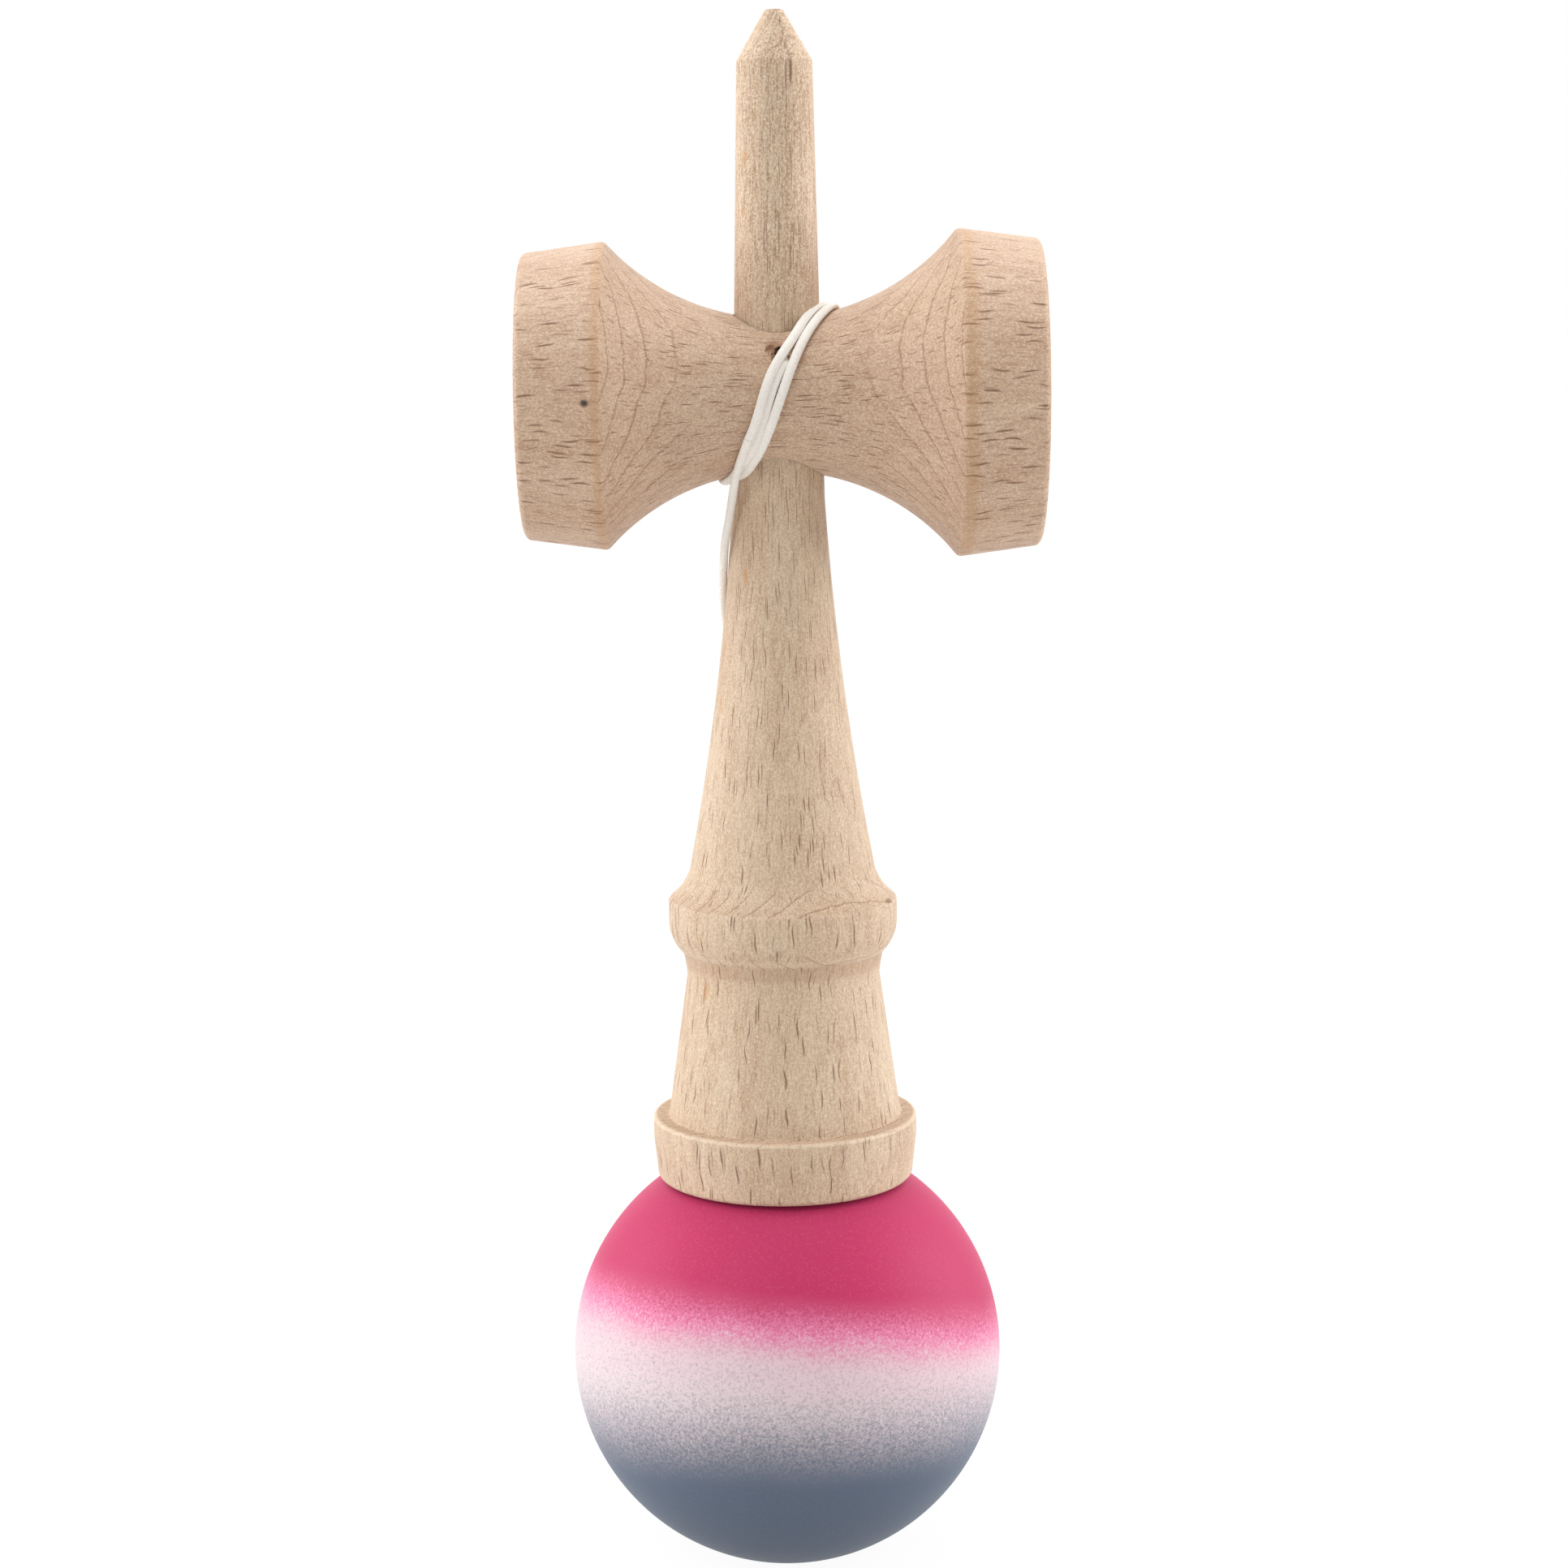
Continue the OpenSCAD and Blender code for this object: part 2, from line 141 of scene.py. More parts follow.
def taper_radius(z):
    """Radius of the ken's taper at a height: it narrows evenly from its foot to the shoulder."""
    return (taper_foot_d - (taper_foot_d - shoulder_d) * (z - ken_z - taper_foot_h) / taper_h) / 2


def flare_at(x):
    """Radius of the cross piece x from its middle: a hollow arc of radius flare_r."""
    return sarado_neck_r + flare_r - np.sqrt(flare_r**2 - x**2)


print(f"ball centre {tama_z:.2f}, ken from {ken_z:.2f}, cross piece at {sarado_z:.2f} mm")

# %% [markdown]
# ## Meshes from arrays
# Every piece is a grid of points: one direction runs along an outline or a route, the other
# goes round. Numpy works the whole grid out at once, and the helpers here turn it into a mesh.
# An open end of a grid is closed with a fan round a middle point, and the sign of the volume
# tells whether the faces point outwards. Blender's own shapes would be quicker to place, but
# they know neither outlines nor routes.


# %% Meshes from arrays
def grid_faces(rows, columns, ring):
    """Quads between neighbouring points of a grid that closes round its columns.
    With ring true its last row also joins its first."""
    i = np.arange(rows if ring else rows - 1)[:, None]
    k = np.arange(columns)[None, :]
    below, above = i * columns, (i + 1) % rows * columns
    after = (k + 1) % columns
    return np.stack([below + k, below + after, above + after, above + k], axis=-1).reshape(-1, 4)


def volume_of(points, quads):
    """Six times the volume enclosed by quads, as the sum of the corner tetrahedra."""
    a, b, c, d = (points[quads[:, n]] for n in range(4))
    return np.einsum("ij,ij->", a, np.cross(b, c)) + np.einsum("ij,ij->", a, np.cross(c, d))


def put_piece(name, grid, ring=False):
    """Makes an object from a rows x columns x 3 grid of millimetre points.
    Open ends get a middle point and a fan of triangles."""
    rows, columns = grid.shape[:2]
    points = grid.reshape(-1, 3)
    quads = grid_faces(rows, columns, ring)
    fans = np.zeros((0, 3), int)
    if not ring:
        first, last = len(points), len(points) + 1
        k = np.arange(columns)
        after = (k + 1) % columns
        top = (rows - 1) * columns
        foot = np.stack([np.full(columns, first), after, k], axis=1)
        head = np.stack([np.full(columns, last), top + k, top + after], axis=1)
        fans = np.concatenate([foot, head])
        points = np.concatenate([points, [grid[0].mean(0), grid[-1].mean(0)]])
    if volume_of(points - points.mean(0), quads) < 0:
        quads, fans = quads[:, ::-1], fans[:, ::-1]
    mesh = bpy.data.meshes.new(name)
    mesh.from_pydata((points * MM).tolist(), [], quads.tolist() + fans.tolist())
    mesh.polygons.foreach_set("use_smooth", np.ones(len(mesh.polygons), bool))
    piece = bpy.data.objects.new(name, mesh)
    bpy.context.scene.collection.objects.link(piece)
    return piece


print("a grid of 3 rows and 4 columns has", len(grid_faces(3, 4, False)), "faces")

# %% [markdown]
# ## The string's route
# The string is one cord of about 38 cm. It is knotted in a cross hole of the ken, comes out of
# the neck's hole, winds two and a bit turns round the neck, drops along the left of the handle
# and behind it, tucks under the lip of the base cup and goes through the ball to a bead.
# The angle round the neck counts from its top towards the front. Every turn sways along the
# neck as a cosine, because it lies at a slant. Hand winding is uneven, so two short lists add a
# drift along the neck and a lift where the string lies on itself: the first turn comes out of
# the hole, the second lies to its right, and the last one crosses over the hole and drops. The
# rest of the way is a list of points with a smooth line through them.

# %% A smooth line
def smooth(points, rounds):
    """Line through the points with one more between each two, again and again. The new point
    is nine sixteenths of its two neighbours' sum less one sixteenth of the next two's."""
    for _ in range(rounds):
        padded = np.concatenate([points[:1], points, points[-1:]])
        middle = (9 * (padded[1:-2] + padded[2:-1]) - padded[:-3] - padded[3:]) / 16
        both = np.empty((2 * len(points) - 1, points.shape[1]))
        both[0::2] = points
        both[1::2] = middle
        points = both
    return points


print("4 points become", len(smooth(np.zeros((4, 3)), 2)))

# %% The winding
def eased(at, keys):
    """Values between rows of place and value, level at every row: the way from one row to the
    next follows three times the squared share less twice the cubed share of it."""
    places, values = keys.T
    n = np.clip(np.searchsorted(places, at, side="right") - 1, 0, len(places) - 2)
    share = (at - places[n]) / (places[n + 1] - places[n])
    return values[n] + (values[n + 1] - values[n]) * share**2 * (3 - 2 * share)


string_gap = 0.03
flat_share = 0.82
wind_slant = 6.45
wind_lean = 5.5
wind_step = 4
wind_drift = np.array([
    [66, -1.2], [126, 1.0], [230, -2.45], [330, 1.75], [404, -0.4], [490, 2.2],
    [589, -0.95], [664, 2.0], [757, -1.75], [787, -2.1], [838, -0.3],
])
wind_lift = np.array([
    [66, 0], [310, 0], [370, 0.15], [630, 0.15], [680, 1.0], [720, 0.5], [838, 0.55],
])


def wind_points(degrees):
    """Points of the winding by the angle round the neck. The slanted turns sway along it as a
    cosine plus the drift, and the string's middle lies half its thickness, the lift and a hair's
    gap off the flare."""
    a = np.radians(degrees)
    x = wind_slant * np.cos(a + math.radians(wind_lean)) + eased(degrees, wind_drift)
    r = flare_at(x) + string_gap + eased(degrees, wind_lift) + flat_share * string_d / 2
    return np.stack([x, -r * np.sin(a), sarado_z + r * np.cos(a)], axis=-1)


drill_x = 0.5
lead_start = np.array([0.3, -6.6, string_hole_z])
lead_out = np.array([
    lead_start,
    [0.55, -7.3, string_hole_z - 0.3],
    [0.85, -8.2, string_hole_z - 0.8],
    [1.05, -9.2, string_hole_z - 1.15],
])
wind_degrees = np.arange(wind_drift[0, 0], wind_drift[-1, 0] + 1, wind_step)
turns = wind_points(wind_degrees)
winding_route = np.concatenate([lead_out, turns])
lead_shares = np.linspace(1, flat_share, len(lead_out))
winding_shares = np.concatenate([lead_shares, np.full(len(turns), flat_share)])
print(f"{np.ptp(wind_degrees) / 360:.2f} turns in {len(turns)} points")

# %% The drop
drop_points = np.array([
    [-5.15, -7.9, 152.9], [-5.75, -6.6, 150.8], [-6.15, -5.4, 148.6], [-6.75, -4.0, 145],
    [-7.3, -2.5, 142], [-7.55, -0.8, 139.2], [-7.7, 1.2, 136.5], [-7.75, 3.3, 133.5],
    [-7.4, 5.1, 129.5], [-6.6, 7.0, 124],
    [-5.4, 8.9, 118.5], [-4.2, 10.5, 113], [-3.0, 12.0, 107], [-2.0, 13.5, 101.5],
    [-1.2, 15.3, 96.5], [-0.7, 16.9, 92], [-0.4, 17.6, 87], [-0.2, 18.0, 81],
    [0, 18.5, 75], [0, 19.1, 69], [0, 19.8, 63.5], [0, 20.7, 59], [0, 21.4, 56],
])
drop_route = np.concatenate([turns[-1:], drop_points])
print(len(drop_route), "points down the handle")

# %% The tuck and the tail
lip_angle = 33.0
nip_angles = lip_angle + np.array([3, 1.6, 0.8, 0, -0.8, -1.6, -3, -5])
nip_shares = np.array([1, 0.68, 0.27, 0.18, 0.27, 0.5, 0.9, 1])
nip_gap = 0.1
over_angles = np.array([22, 16, 10])
bend_r = 2 * string_d


def over_ball(degrees, off):
    """Points behind the ball's top, by the angle from the top and the height off the paint."""
    a = np.radians(degrees)
    r = tama_r + off
    return np.stack([0 * a, r * np.sin(a), tama_z + r * np.cos(a)], axis=-1)


nip = over_ball(nip_angles, nip_gap + string_d * nip_shares / 2)
tuck_turn = math.radians(90 + nip_angles[0])
tuck_middle = nip[0] - bend_r * np.array([0, math.cos(tuck_turn), -math.sin(tuck_turn)])
tuck_angles = np.linspace(0, tuck_turn, 6)[:-1]
tuck = tuck_middle + bend_r * np.stack(
    [0 * tuck_angles, np.cos(tuck_angles), -np.sin(tuck_angles)], axis=-1
)
dive_angles = np.radians(np.arange(0, 91, 15))
dive_top_z = tama_top_z + string_gap + string_d / 2
dive = np.stack([
    0 * dive_angles,
    bend_r * (1 - np.sin(dive_angles)),
    dive_top_z - bend_r * (1 - np.cos(dive_angles)),
], axis=-1)
knot_r = 1.5
knot_half = 1.2
knot_gap = 0.3
tama_knot_z = bead_z - bead_r - knot_gap - knot_half
tail = np.array([[0, 0, bead_z + 3 * bead_r], [0, 0, bead_z], [0, 0, tama_knot_z]])
over = over_ball(over_angles, string_gap + string_d / 2)
tuck_route = np.concatenate([drop_points[-1:], tuck, nip, over, dive, tail])
tuck_shares = np.ones(len(tuck_route))
tuck_shares[1 + len(tuck):1 + len(tuck) + len(nip)] = nip_shares
print(len(tuck_route), "points under the lip and through the ball")

# %% [markdown]
# ## The string as a braided tube
# A real string this thin is a round braid: two sets of yarns wind in opposite directions and
# cross over each other. A curve with a bevel would give a smooth wire, so the tube is computed
# ring by ring along the route, and each ring's radius swells where one of the yarns passes.


# %% The braided tube
def spaced(points, step):
    """The same line with points at even distances along it."""
    lengths = np.linalg.norm(np.diff(points[:, :3], axis=0), axis=1)
    along = np.concatenate([[0], np.cumsum(lengths)])
    at = np.linspace(0, along[-1], int(along[-1] / step) + 1)
    return np.stack([np.interp(at, along, points[:, n]) for n in range(points.shape[1])], axis=1)


def length_of(line):
    """Sum of the distances between neighbouring points, in metres."""
    return float(np.linalg.norm(np.diff(line[:, :3], axis=0), axis=1).sum()) * MM


yarns = 6
yarn_pitch = 4.2
yarn_relief = 0.07
swell_middle = 0.4
string_sides = 24
string_step = 0.14
smooth_rounds = 2


def braid(route, shares, across=(1, 0, 0)):
    """Tube along a route. A ring's point is its middle, plus across times the cosine, plus the
    third direction times the sine of the angle; both radii swell by the yarns' relief: the
    larger of two cosines, one for each winding direction. A flattened ring keeps its girth, so
    its width is the root of two less its squared share of thickness."""
    across = np.broadcast_to(across, (len(route), 3))
    line = np.column_stack([route, shares, across])
    line = spaced(smooth(line, smooth_rounds), string_step)
    middle, share, side = line[:, :3], line[:, 3:4], line[:, 4:]
    way = np.gradient(middle, axis=0)
    way /= np.linalg.norm(way, axis=1, keepdims=True)
    side = side - (side * way).sum(1, keepdims=True) * way
    side /= np.linalg.norm(side, axis=1, keepdims=True)
    up = np.cross(way, side)
    angle = np.arange(string_sides)[None, :] * 2 * math.pi / string_sides
    along = np.arange(len(line))[:, None] * string_step * 2 * math.pi * yarns / yarn_pitch
    swell = np.maximum(np.cos(yarns * angle + along), np.cos(yarns * angle - along))
    radius = string_d / 2 * (1 + yarn_relief * (swell - swell_middle))
    wide = np.sqrt(2 - share**2) * radius
    thick = share * radius
    ring = side[:, None] * (np.cos(angle) * wide)[..., None]
    ring = ring + up[:, None] * (np.sin(angle) * thick)[..., None]
    return middle[:, None] + ring, middle


drop_shares = np.concatenate([[flat_share], np.ones(len(drop_route) - 1)])
winding_grid, winding_line = braid(winding_route, winding_shares)
drop_grid, drop_line = braid(drop_route, drop_shares)
tuck_grid, tuck_line = braid(tuck_route, tuck_shares)
string_winding = put_piece("wound_string", winding_grid)
string_drop = put_piece("dropped_string", drop_grid)
string_tuck = put_piece("tucked_string", tuck_grid)
for line in (winding_line, drop_line, tuck_line):
    print(f"{length_of(line) * 1000:.1f} mm of string")

# %% [markdown]
# ## Knots
# Both ends are tied in an overhand knot, pulled tight. The middle line of such a knot is a
# trefoil: a ring that winds twice round the middle while it dips three times. The same braid
# follows it, and the lead from the ken's knot to the neck's hole is a straight piece of it.
# Plain balls would do while both knots are hidden, but they show when the toy is taken apart.


# %% Knots
knot_points = 40
knot_lean = 0.3
spread_inset = 0.42 * string_d
dip_inset = 0.45 * string_d
lead_points = 12


def trefoil(middle, up, across):
    """Trefoil round a middle point: two turns in the plane of across and the third direction,
    with three dips along up, sized to the knot's radius and half height."""
    t = np.linspace(0, 2 * math.pi, knot_points)
    spread = (knot_r - spread_inset) / 3
    dip = knot_half - dip_inset
    flat = (np.sin(t) + 2 * np.sin(2 * t))[:, None] * across
    flat = flat + (np.cos(t) - 2 * np.cos(2 * t))[:, None] * np.cross(up, across)
    return middle + spread * flat - dip * np.sin(3 * t)[:, None] * up


def put_knot(name, middle, up, across):
    """A tight knot as a braid along a trefoil."""
    middle, up, across = np.array(middle), np.array(up), np.array(across)
    route = trefoil(middle, up, across)
    away = route - middle + knot_lean * up
    grid, _ = braid(route, np.ones(len(route)), away)
    return put_piece(name, grid)


ken_knot_y = taper_radius(string_hole_z) - knot_gap - knot_half
ken_knot = put_knot("ken_end_knot", (0, ken_knot_y, string_hole_z), (0, 1, 0), (1, 0, 0))
tama_knot = put_knot("tama_end_knot", (0, 0, tama_knot_z), (0, 0, 1), (1, 0, 0))
lead_route = np.linspace([0, ken_knot_y, string_hole_z], lead_start, lead_points)
lead_grid, _ = braid(lead_route, np.ones(len(lead_route)))
string_lead = put_piece("lead_string", lead_grid)
print("knots at", round(ken_knot_y, 2), "behind the axis and", round(tama_knot_z, 2), "up")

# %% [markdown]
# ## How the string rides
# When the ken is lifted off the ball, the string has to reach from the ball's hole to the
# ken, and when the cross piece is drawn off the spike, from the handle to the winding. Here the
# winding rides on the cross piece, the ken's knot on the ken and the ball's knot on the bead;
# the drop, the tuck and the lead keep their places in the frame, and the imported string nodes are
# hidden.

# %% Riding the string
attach(string_winding, "sarado")
MM * np.array([0, 0, winding_line[-1, 2] - 2])
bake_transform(string_drop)
MM * np.array([0, 0, tama_top_z - 7])
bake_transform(string_tuck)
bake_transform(string_lead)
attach(ken_knot, "ken")
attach(tama_knot, "bead")
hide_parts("string_winding")
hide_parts("string_run")
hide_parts("string_run", "string_tail")
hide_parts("ken_knot")
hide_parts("ken_knot")
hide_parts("tama_knot")
string_pieces = [string_winding, string_drop, string_tuck, string_lead, ken_knot, tama_knot]
winding_line[0] * MM
winding_line * MM
drop_line[0] * MM
drop_line * MM
tuck_line[0] * MM
tuck_line * MM
print("string pieces:", [piece.name for piece in string_pieces])

# %% [markdown]
# ## Turned outlines
# The wooden pieces come off a lathe, so each is an outline spun round an axis. An outline is
# a list of radius and height pairs, made of straight lines, small rounded corners, hollow
# curves and the cups' ball-shaped floors. A curve with a Screw modifier would spin it too, but
# as an array the surface can still be dented or torn before it becomes a mesh.


# %% Helpers for outlines
def bowed(a, b, sag, count):
    """Points from a to b on a parabola that stands off the chord by sag at its middle."""
    a, b = np.array(a, float), np.array(b, float)
    t = np.linspace(0, 1, count)[:, None]
    side = np.array([b[1] - a[1], a[0] - b[0]]) / np.linalg.norm(b - a)
    return a + (b - a) * t + side * sag * 4 * t * (1 - t)


def rounded(a, b, c, radius, count=9):
    """Arc of that radius in the corner at b, tangent to the lines towards a and c."""
    a, b, c = (np.array(p, float) for p in (a, b, c))
    u, v = (a - b) / np.linalg.norm(a - b), (c - b) / np.linalg.norm(c - b)
    half = math.acos(u @ v) / 2
    middle = b + (u + v) / np.linalg.norm(u + v) * radius / math.sin(half)
    start = b + u * radius / math.tan(half) - middle
    finish = b + v * radius / math.tan(half) - middle
    first = math.atan2(start[1], start[0])
    sweep = math.atan2(finish[1], finish[0]) - first
    sweep = (sweep + math.pi) % (2 * math.pi) - math.pi
    angles = first + sweep * np.linspace(0, 1, count)
    return middle + radius * np.stack([np.cos(angles), np.sin(angles)], axis=1)


def cup_outline(lip_mid, lip, depth):
    """A cup from the middle of its floor to the outside of its lip, with the lip's top line at
    height 0. The floor is the ball that runs smoothly into the lip's arc."""
    ball_h = ((depth + lip) ** 2 - lip_mid**2 - lip**2) / (2 * depth)
    ball = depth - ball_h
    spread = math.atan2(lip_mid, lip - ball_h)
    a = np.linspace(0, spread, 30)
    floor = np.stack([ball * np.sin(a), ball_h + ball * np.cos(a)], axis=1)
    b = np.linspace(1.5 * math.pi - spread, 2 * math.pi, 14)[1:]
    edge = np.stack([lip_mid + lip * np.cos(b), lip + lip * np.sin(b)], axis=1)
    return np.concatenate([floor, edge])


print("a cup 10 mm deep takes", len(cup_outline(15, 1, 10)), "outline points")


# %% Spinning an outline
def filled(outline, longest):
    """The same outline with no step longer than that, and its corners kept."""
    steps = np.linalg.norm(np.diff(outline, axis=0), axis=1)
    counts = np.maximum(np.ceil(steps / longest), 1).astype(int)
    start = np.repeat(outline[:-1], counts, axis=0)
    move = np.repeat(np.diff(outline, axis=0), counts, axis=0)
    share = np.concatenate([np.arange(n) / n for n in counts])[:, None]
    return np.concatenate([start + move * share, outline[-1:]])


def turn(outline, sides):
    """Surface of revolution: each radius goes round as cosine and sine at its height."""
    a = np.arange(sides) * 2 * math.pi / sides
    r, h = outline[:, :1], outline[:, 1:]
    return np.stack([r * np.cos(a), r * np.sin(a), h + 0 * a], axis=-1)


def on_side(grid, z):
    """Turns a grid from the upright axis to the X axis at height z."""
    return np.stack([grid[..., 2], grid[..., 0], grid[..., 1] + z], axis=-1)


print("a line 3 long in steps of 1 has", len(filled(np.array([[0, 0], [0, 3]]), 1)), "points")

# %% [markdown]
# ## Holes
# Holes that cross a turned surface at an angle leave a saddle-shaped edge. The Boolean
# modifier works that edge out; its result is kept as the piece's mesh and the cutter is
# thrown away. A cutter is a turned surface too, with a little tear in its radius, because a
# drill leaves a ragged edge in bare wood.


# %% Cutting holes
sliver = 0.004
sharp_angle = math.radians(38)


def cut(piece, *cutters):
    """Subtracts the cutters from a piece, keeps the result, joins the points that a cut leaves
    next to each other, splits the many-sided faces round it and marks the new edges sharp."""
    for cutter in cutters:
        modifier = piece.modifiers.new("hole", "BOOLEAN")
        modifier.object = cutter
        modifier.operation = "DIFFERENCE"
        modifier.solver = "EXACT"
    shown = piece.evaluated_get(bpy.context.evaluated_depsgraph_get())
    made = bpy.data.meshes.new_from_object(shown)
    piece.modifiers.clear()
    piece.data = made
    mesh = bmesh.new()
    mesh.from_mesh(made)
    bmesh.ops.remove_doubles(mesh, verts=mesh.verts, dist=sliver * MM)
    bmesh.ops.triangulate(mesh, faces=[face for face in mesh.faces if len(face.verts) > 4])
    bmesh.ops.dissolve_degenerate(mesh, edges=mesh.edges, dist=sliver * MM)
    mesh.to_mesh(made)
    mesh.free()
    made.polygons.foreach_set("use_smooth", np.ones(len(made.polygons), bool))
    made.set_sharp_from_angle(angle=sharp_angle)
    for cutter in cutters:
        bpy.data.objects.remove(cutter)


print("a cut joins points closer than", sliver, "mm")

# %% Torn and turned cutters
ripple_waves = 6


def ripple(a, b, seed):
    """A few waves of unlike lengths added up, between about -1 and 1, for small unevenness."""
    waves = np.random.default_rng(seed).uniform(0.6, 1.6, (ripple_waves, 2)) * [[3, 1]]
    starts = np.random.default_rng(seed + 1).uniform(0, 6.28, ripple_waves)
    total = sum(np.sin(w[0] * a * (n + 1) + w[1] * b + s)
                for n, (w, s) in enumerate(zip(np.round(waves), starts)))
    return total / 3


def widened(grid, share):
    """The grid with each point's distance from the upright axis grown by a share of it."""
    grow = 1 + share
    return grid * np.stack([grow, grow, np.ones_like(grow)], axis=-1)


def through_front(grid, x=0, up=0):
    """Turns a cutter from the upright axis to lie front to back at the string hole's height,
    moved that far to the right and up."""
    return grid[..., [0, 2, 1]] + [x, 0, string_hole_z + up]


print(f"a ripple spans {np.ptp(ripple(np.linspace(0, 2 * math.pi, 90), 0, 5)):.2f}")

# %% [markdown]
# ## The ken
# From the lip of its base cup upwards: a band with a ledge, a cone to the neck, a soft crease
# under a swelling collar, a hollow cove, the slim hollow handle, the taper for the cross piece
# and the spike. Small dents make it a used piece of wood: one on the spike's shoulder, one on
# the collar. Across the taper go a thin hole for the string and a pocket for its knot.

# %% The ken's outline
base_r = (ken_high[0] - ken_low[0]) / 2
base_h = 8.8
base_band_h = 3
base_draft = 0.55
base_cup_depth = 11
lip_r = 0.8
lip_mid_r = base_r - base_draft - lip_r
ledge = np.array([base_r, base_h])
ledge_w = 2.2
ledge_foot = ledge - [ledge_w, 0]
ledge_round = 0.5
ledge_foot_round = 0.4
neck = np.array([13.35, 28.6])
crease = np.array([13.85, 31.9])
hollow_power = 1.6
swell_power = 2.4
collar_r = 15.8
collar_h = 36.7
collar_top = np.array([collar_r, 39.3])
collar_round = 0.8
handle_foot = np.array([12.8, 43.4])
cove_sag = 0.4
handle_sag = 0.83
taper_foot = np.array([taper_foot_d / 2, taper_foot_h])
shoulder = np.array([shoulder_d / 2, taper_foot_h + taper_h])
shoulder_round = 0.6
tip = np.array([1.15, ken_h])
tip_round = 0.5

rise = np.linspace(0, 1, 16)[:, None]
hollow = neck + (crease - neck) * np.hstack([rise**hollow_power, rise])
belly = np.hstack([1 - (1 - rise) ** swell_power, rise])
swell = crease + ([collar_r, collar_h] - crease) * belly
cove = bowed(collar_top, handle_foot, -cove_sag, 16)
ken_outline = np.concatenate([
    cup_outline(lip_mid_r, lip_r, base_cup_depth)[1:],
    [[base_r, base_h - base_band_h]],
    rounded([base_r, 0], ledge, ledge_foot, ledge_round),
    rounded(ledge, ledge_foot, neck, ledge_foot_round),
    hollow[:-1],
    swell,
    rounded([collar_r, collar_h], collar_top, cove[3], collar_round),
    cove[3:-1],
    bowed(handle_foot, taper_foot, -handle_sag, 40),
    rounded(taper_foot, shoulder, tip, shoulder_round),
    rounded(shoulder, tip, [0, ken_h], tip_round),
])
print("ken outline:", len(ken_outline), "points")


# %% The ken's dents and holes
def dent(grid, place, size, depth):
    """Pushes the surface towards the axis round a place, as deep as a bell curve of the distance
    over the size, which differs along x, y and z."""
    off = (grid - np.array(place)) / np.array(size)
    push = depth * np.exp(-(off**2).sum(-1))
    radius = np.maximum(np.hypot(grid[..., 0], grid[..., 1]), 0.01)
    return widened(grid, -np.minimum(push / radius, 0.5))


ken_sides = 160
ken_step = 0.6
string_bore_r = 0.75
pocket_r = 2.1
cutter_reach = 15
cutter_sides = 48

ken_grid = turn(filled(ken_outline, ken_step) + [0, ken_z], ken_sides)
shoulder_z = ken_z + shoulder[1]
collar_top_z = ken_z + collar_top[1]
for place, size, depth in [
    ((1.7, -4.8, shoulder_z - 0.3), (0.35, 2, 1.3), 0.35),
    ((2.6, -4.4, shoulder_z + 0.4), (0.8, 2, 0.5), 0.25),
    ((13.6, -7.6, collar_top_z - 0.4), (1.1, 1.6, 0.5), 0.3),
]:
    ken_grid = dent(ken_grid, place, size, depth)
ken = put_piece("turned_ken", ken_grid)
hole_outline = np.array([[string_bore_r, -cutter_reach], [string_bore_r, cutter_reach]])
hole_cutter = put_piece("hole_cutter", through_front(turn(hole_outline, cutter_sides)))
pocket_y = taper_radius(string_hole_z) - 2 * knot_half - knot_gap
pocket_outline = np.array([[pocket_r, pocket_y], [pocket_r, cutter_reach]])
pocket_cutter = put_piece("pocket_cutter", through_front(turn(pocket_outline, cutter_sides)))
cut(ken, hole_cutter, pocket_cutter)
print("ken:", len(ken.data.polygons), "faces")

# %% [markdown]
# ## The sarado
# The cross piece lies on its side: a hollow neck that flares to two drums with shallow cups in
# their ends. The ken's taper goes through a bore, and the string comes out of a small drilled
# hole just below the neck's top line, with a chip broken out beside it. A Mirror modifier would
# make both ends alike, which they aren't, so one function is given each end's own sizes.

# %% The sarado's outline
big_cup_d = sarado_high[2] - sarado_low[2]
big_cup_draft = 2.7
big_cup_depth = 9.8
small_cup_d = 41.4
small_cup_draft = 2.8
small_cup_depth = 9
cup_lip_r = 0.95
cup_edge_r = 0.9
sarado_sides = 208
sarado_step = 0.55


def flare_reach(cup_d):
    """Distance from the middle at which the flare has grown to a cup's width."""
    return math.sqrt(flare_r**2 - (sarado_neck_r + flare_r - cup_d / 2) ** 2)


def sarado_end(cup_d, draft, reach, depth):
    """Half outline of one end as radius and distance from the ken: cup, rim, drum and flare."""
    edge = np.array([cup_d / 2, flare_reach(cup_d)])
    rim = np.array([(cup_d - draft) / 2, reach - cup_lip_r])
    cup_line = cup_outline(rim[0] - cup_lip_r, cup_lip_r, depth)[1:]
    cup_line = cup_line * [1, -1] + [0, reach]
    span = math.asin(edge[1] / flare_r)
    x = flare_r * np.sin(span * np.linspace(1, 0, 40))
    flare = np.stack([flare_at(x), x], axis=1)[3:]
    return np.concatenate([cup_line, rounded(rim, edge, flare[0], cup_edge_r), flare])


big_end = sarado_end(big_cup_d, big_cup_draft, sarado_high[0], big_cup_depth)
small_end = sarado_end(small_cup_d, small_cup_draft, -sarado_low[0], small_cup_depth)
sarado_outline = np.concatenate([big_end, (small_end[:-1] * [1, -1])[::-1]])
sarado_grid = on_side(turn(filled(sarado_outline, sarado_step), sarado_sides), sarado_z)
sarado = put_piece("turned_sarado", sarado_grid)
print("sarado outline:", len(sarado_outline), "points")


# %% The sarado's holes
def ragged(outline, sides, depth, seed, pitch=1):
    """A turned cutter whose radius ripples by a depth, a share of it, with waves that are
    crowded by the pitch along the axis."""
    grid = turn(outline, sides)
    around = np.arctan2(grid[..., 1], grid[..., 0])
    return widened(grid, depth * ripple(around, pitch * grid[..., 2], seed))


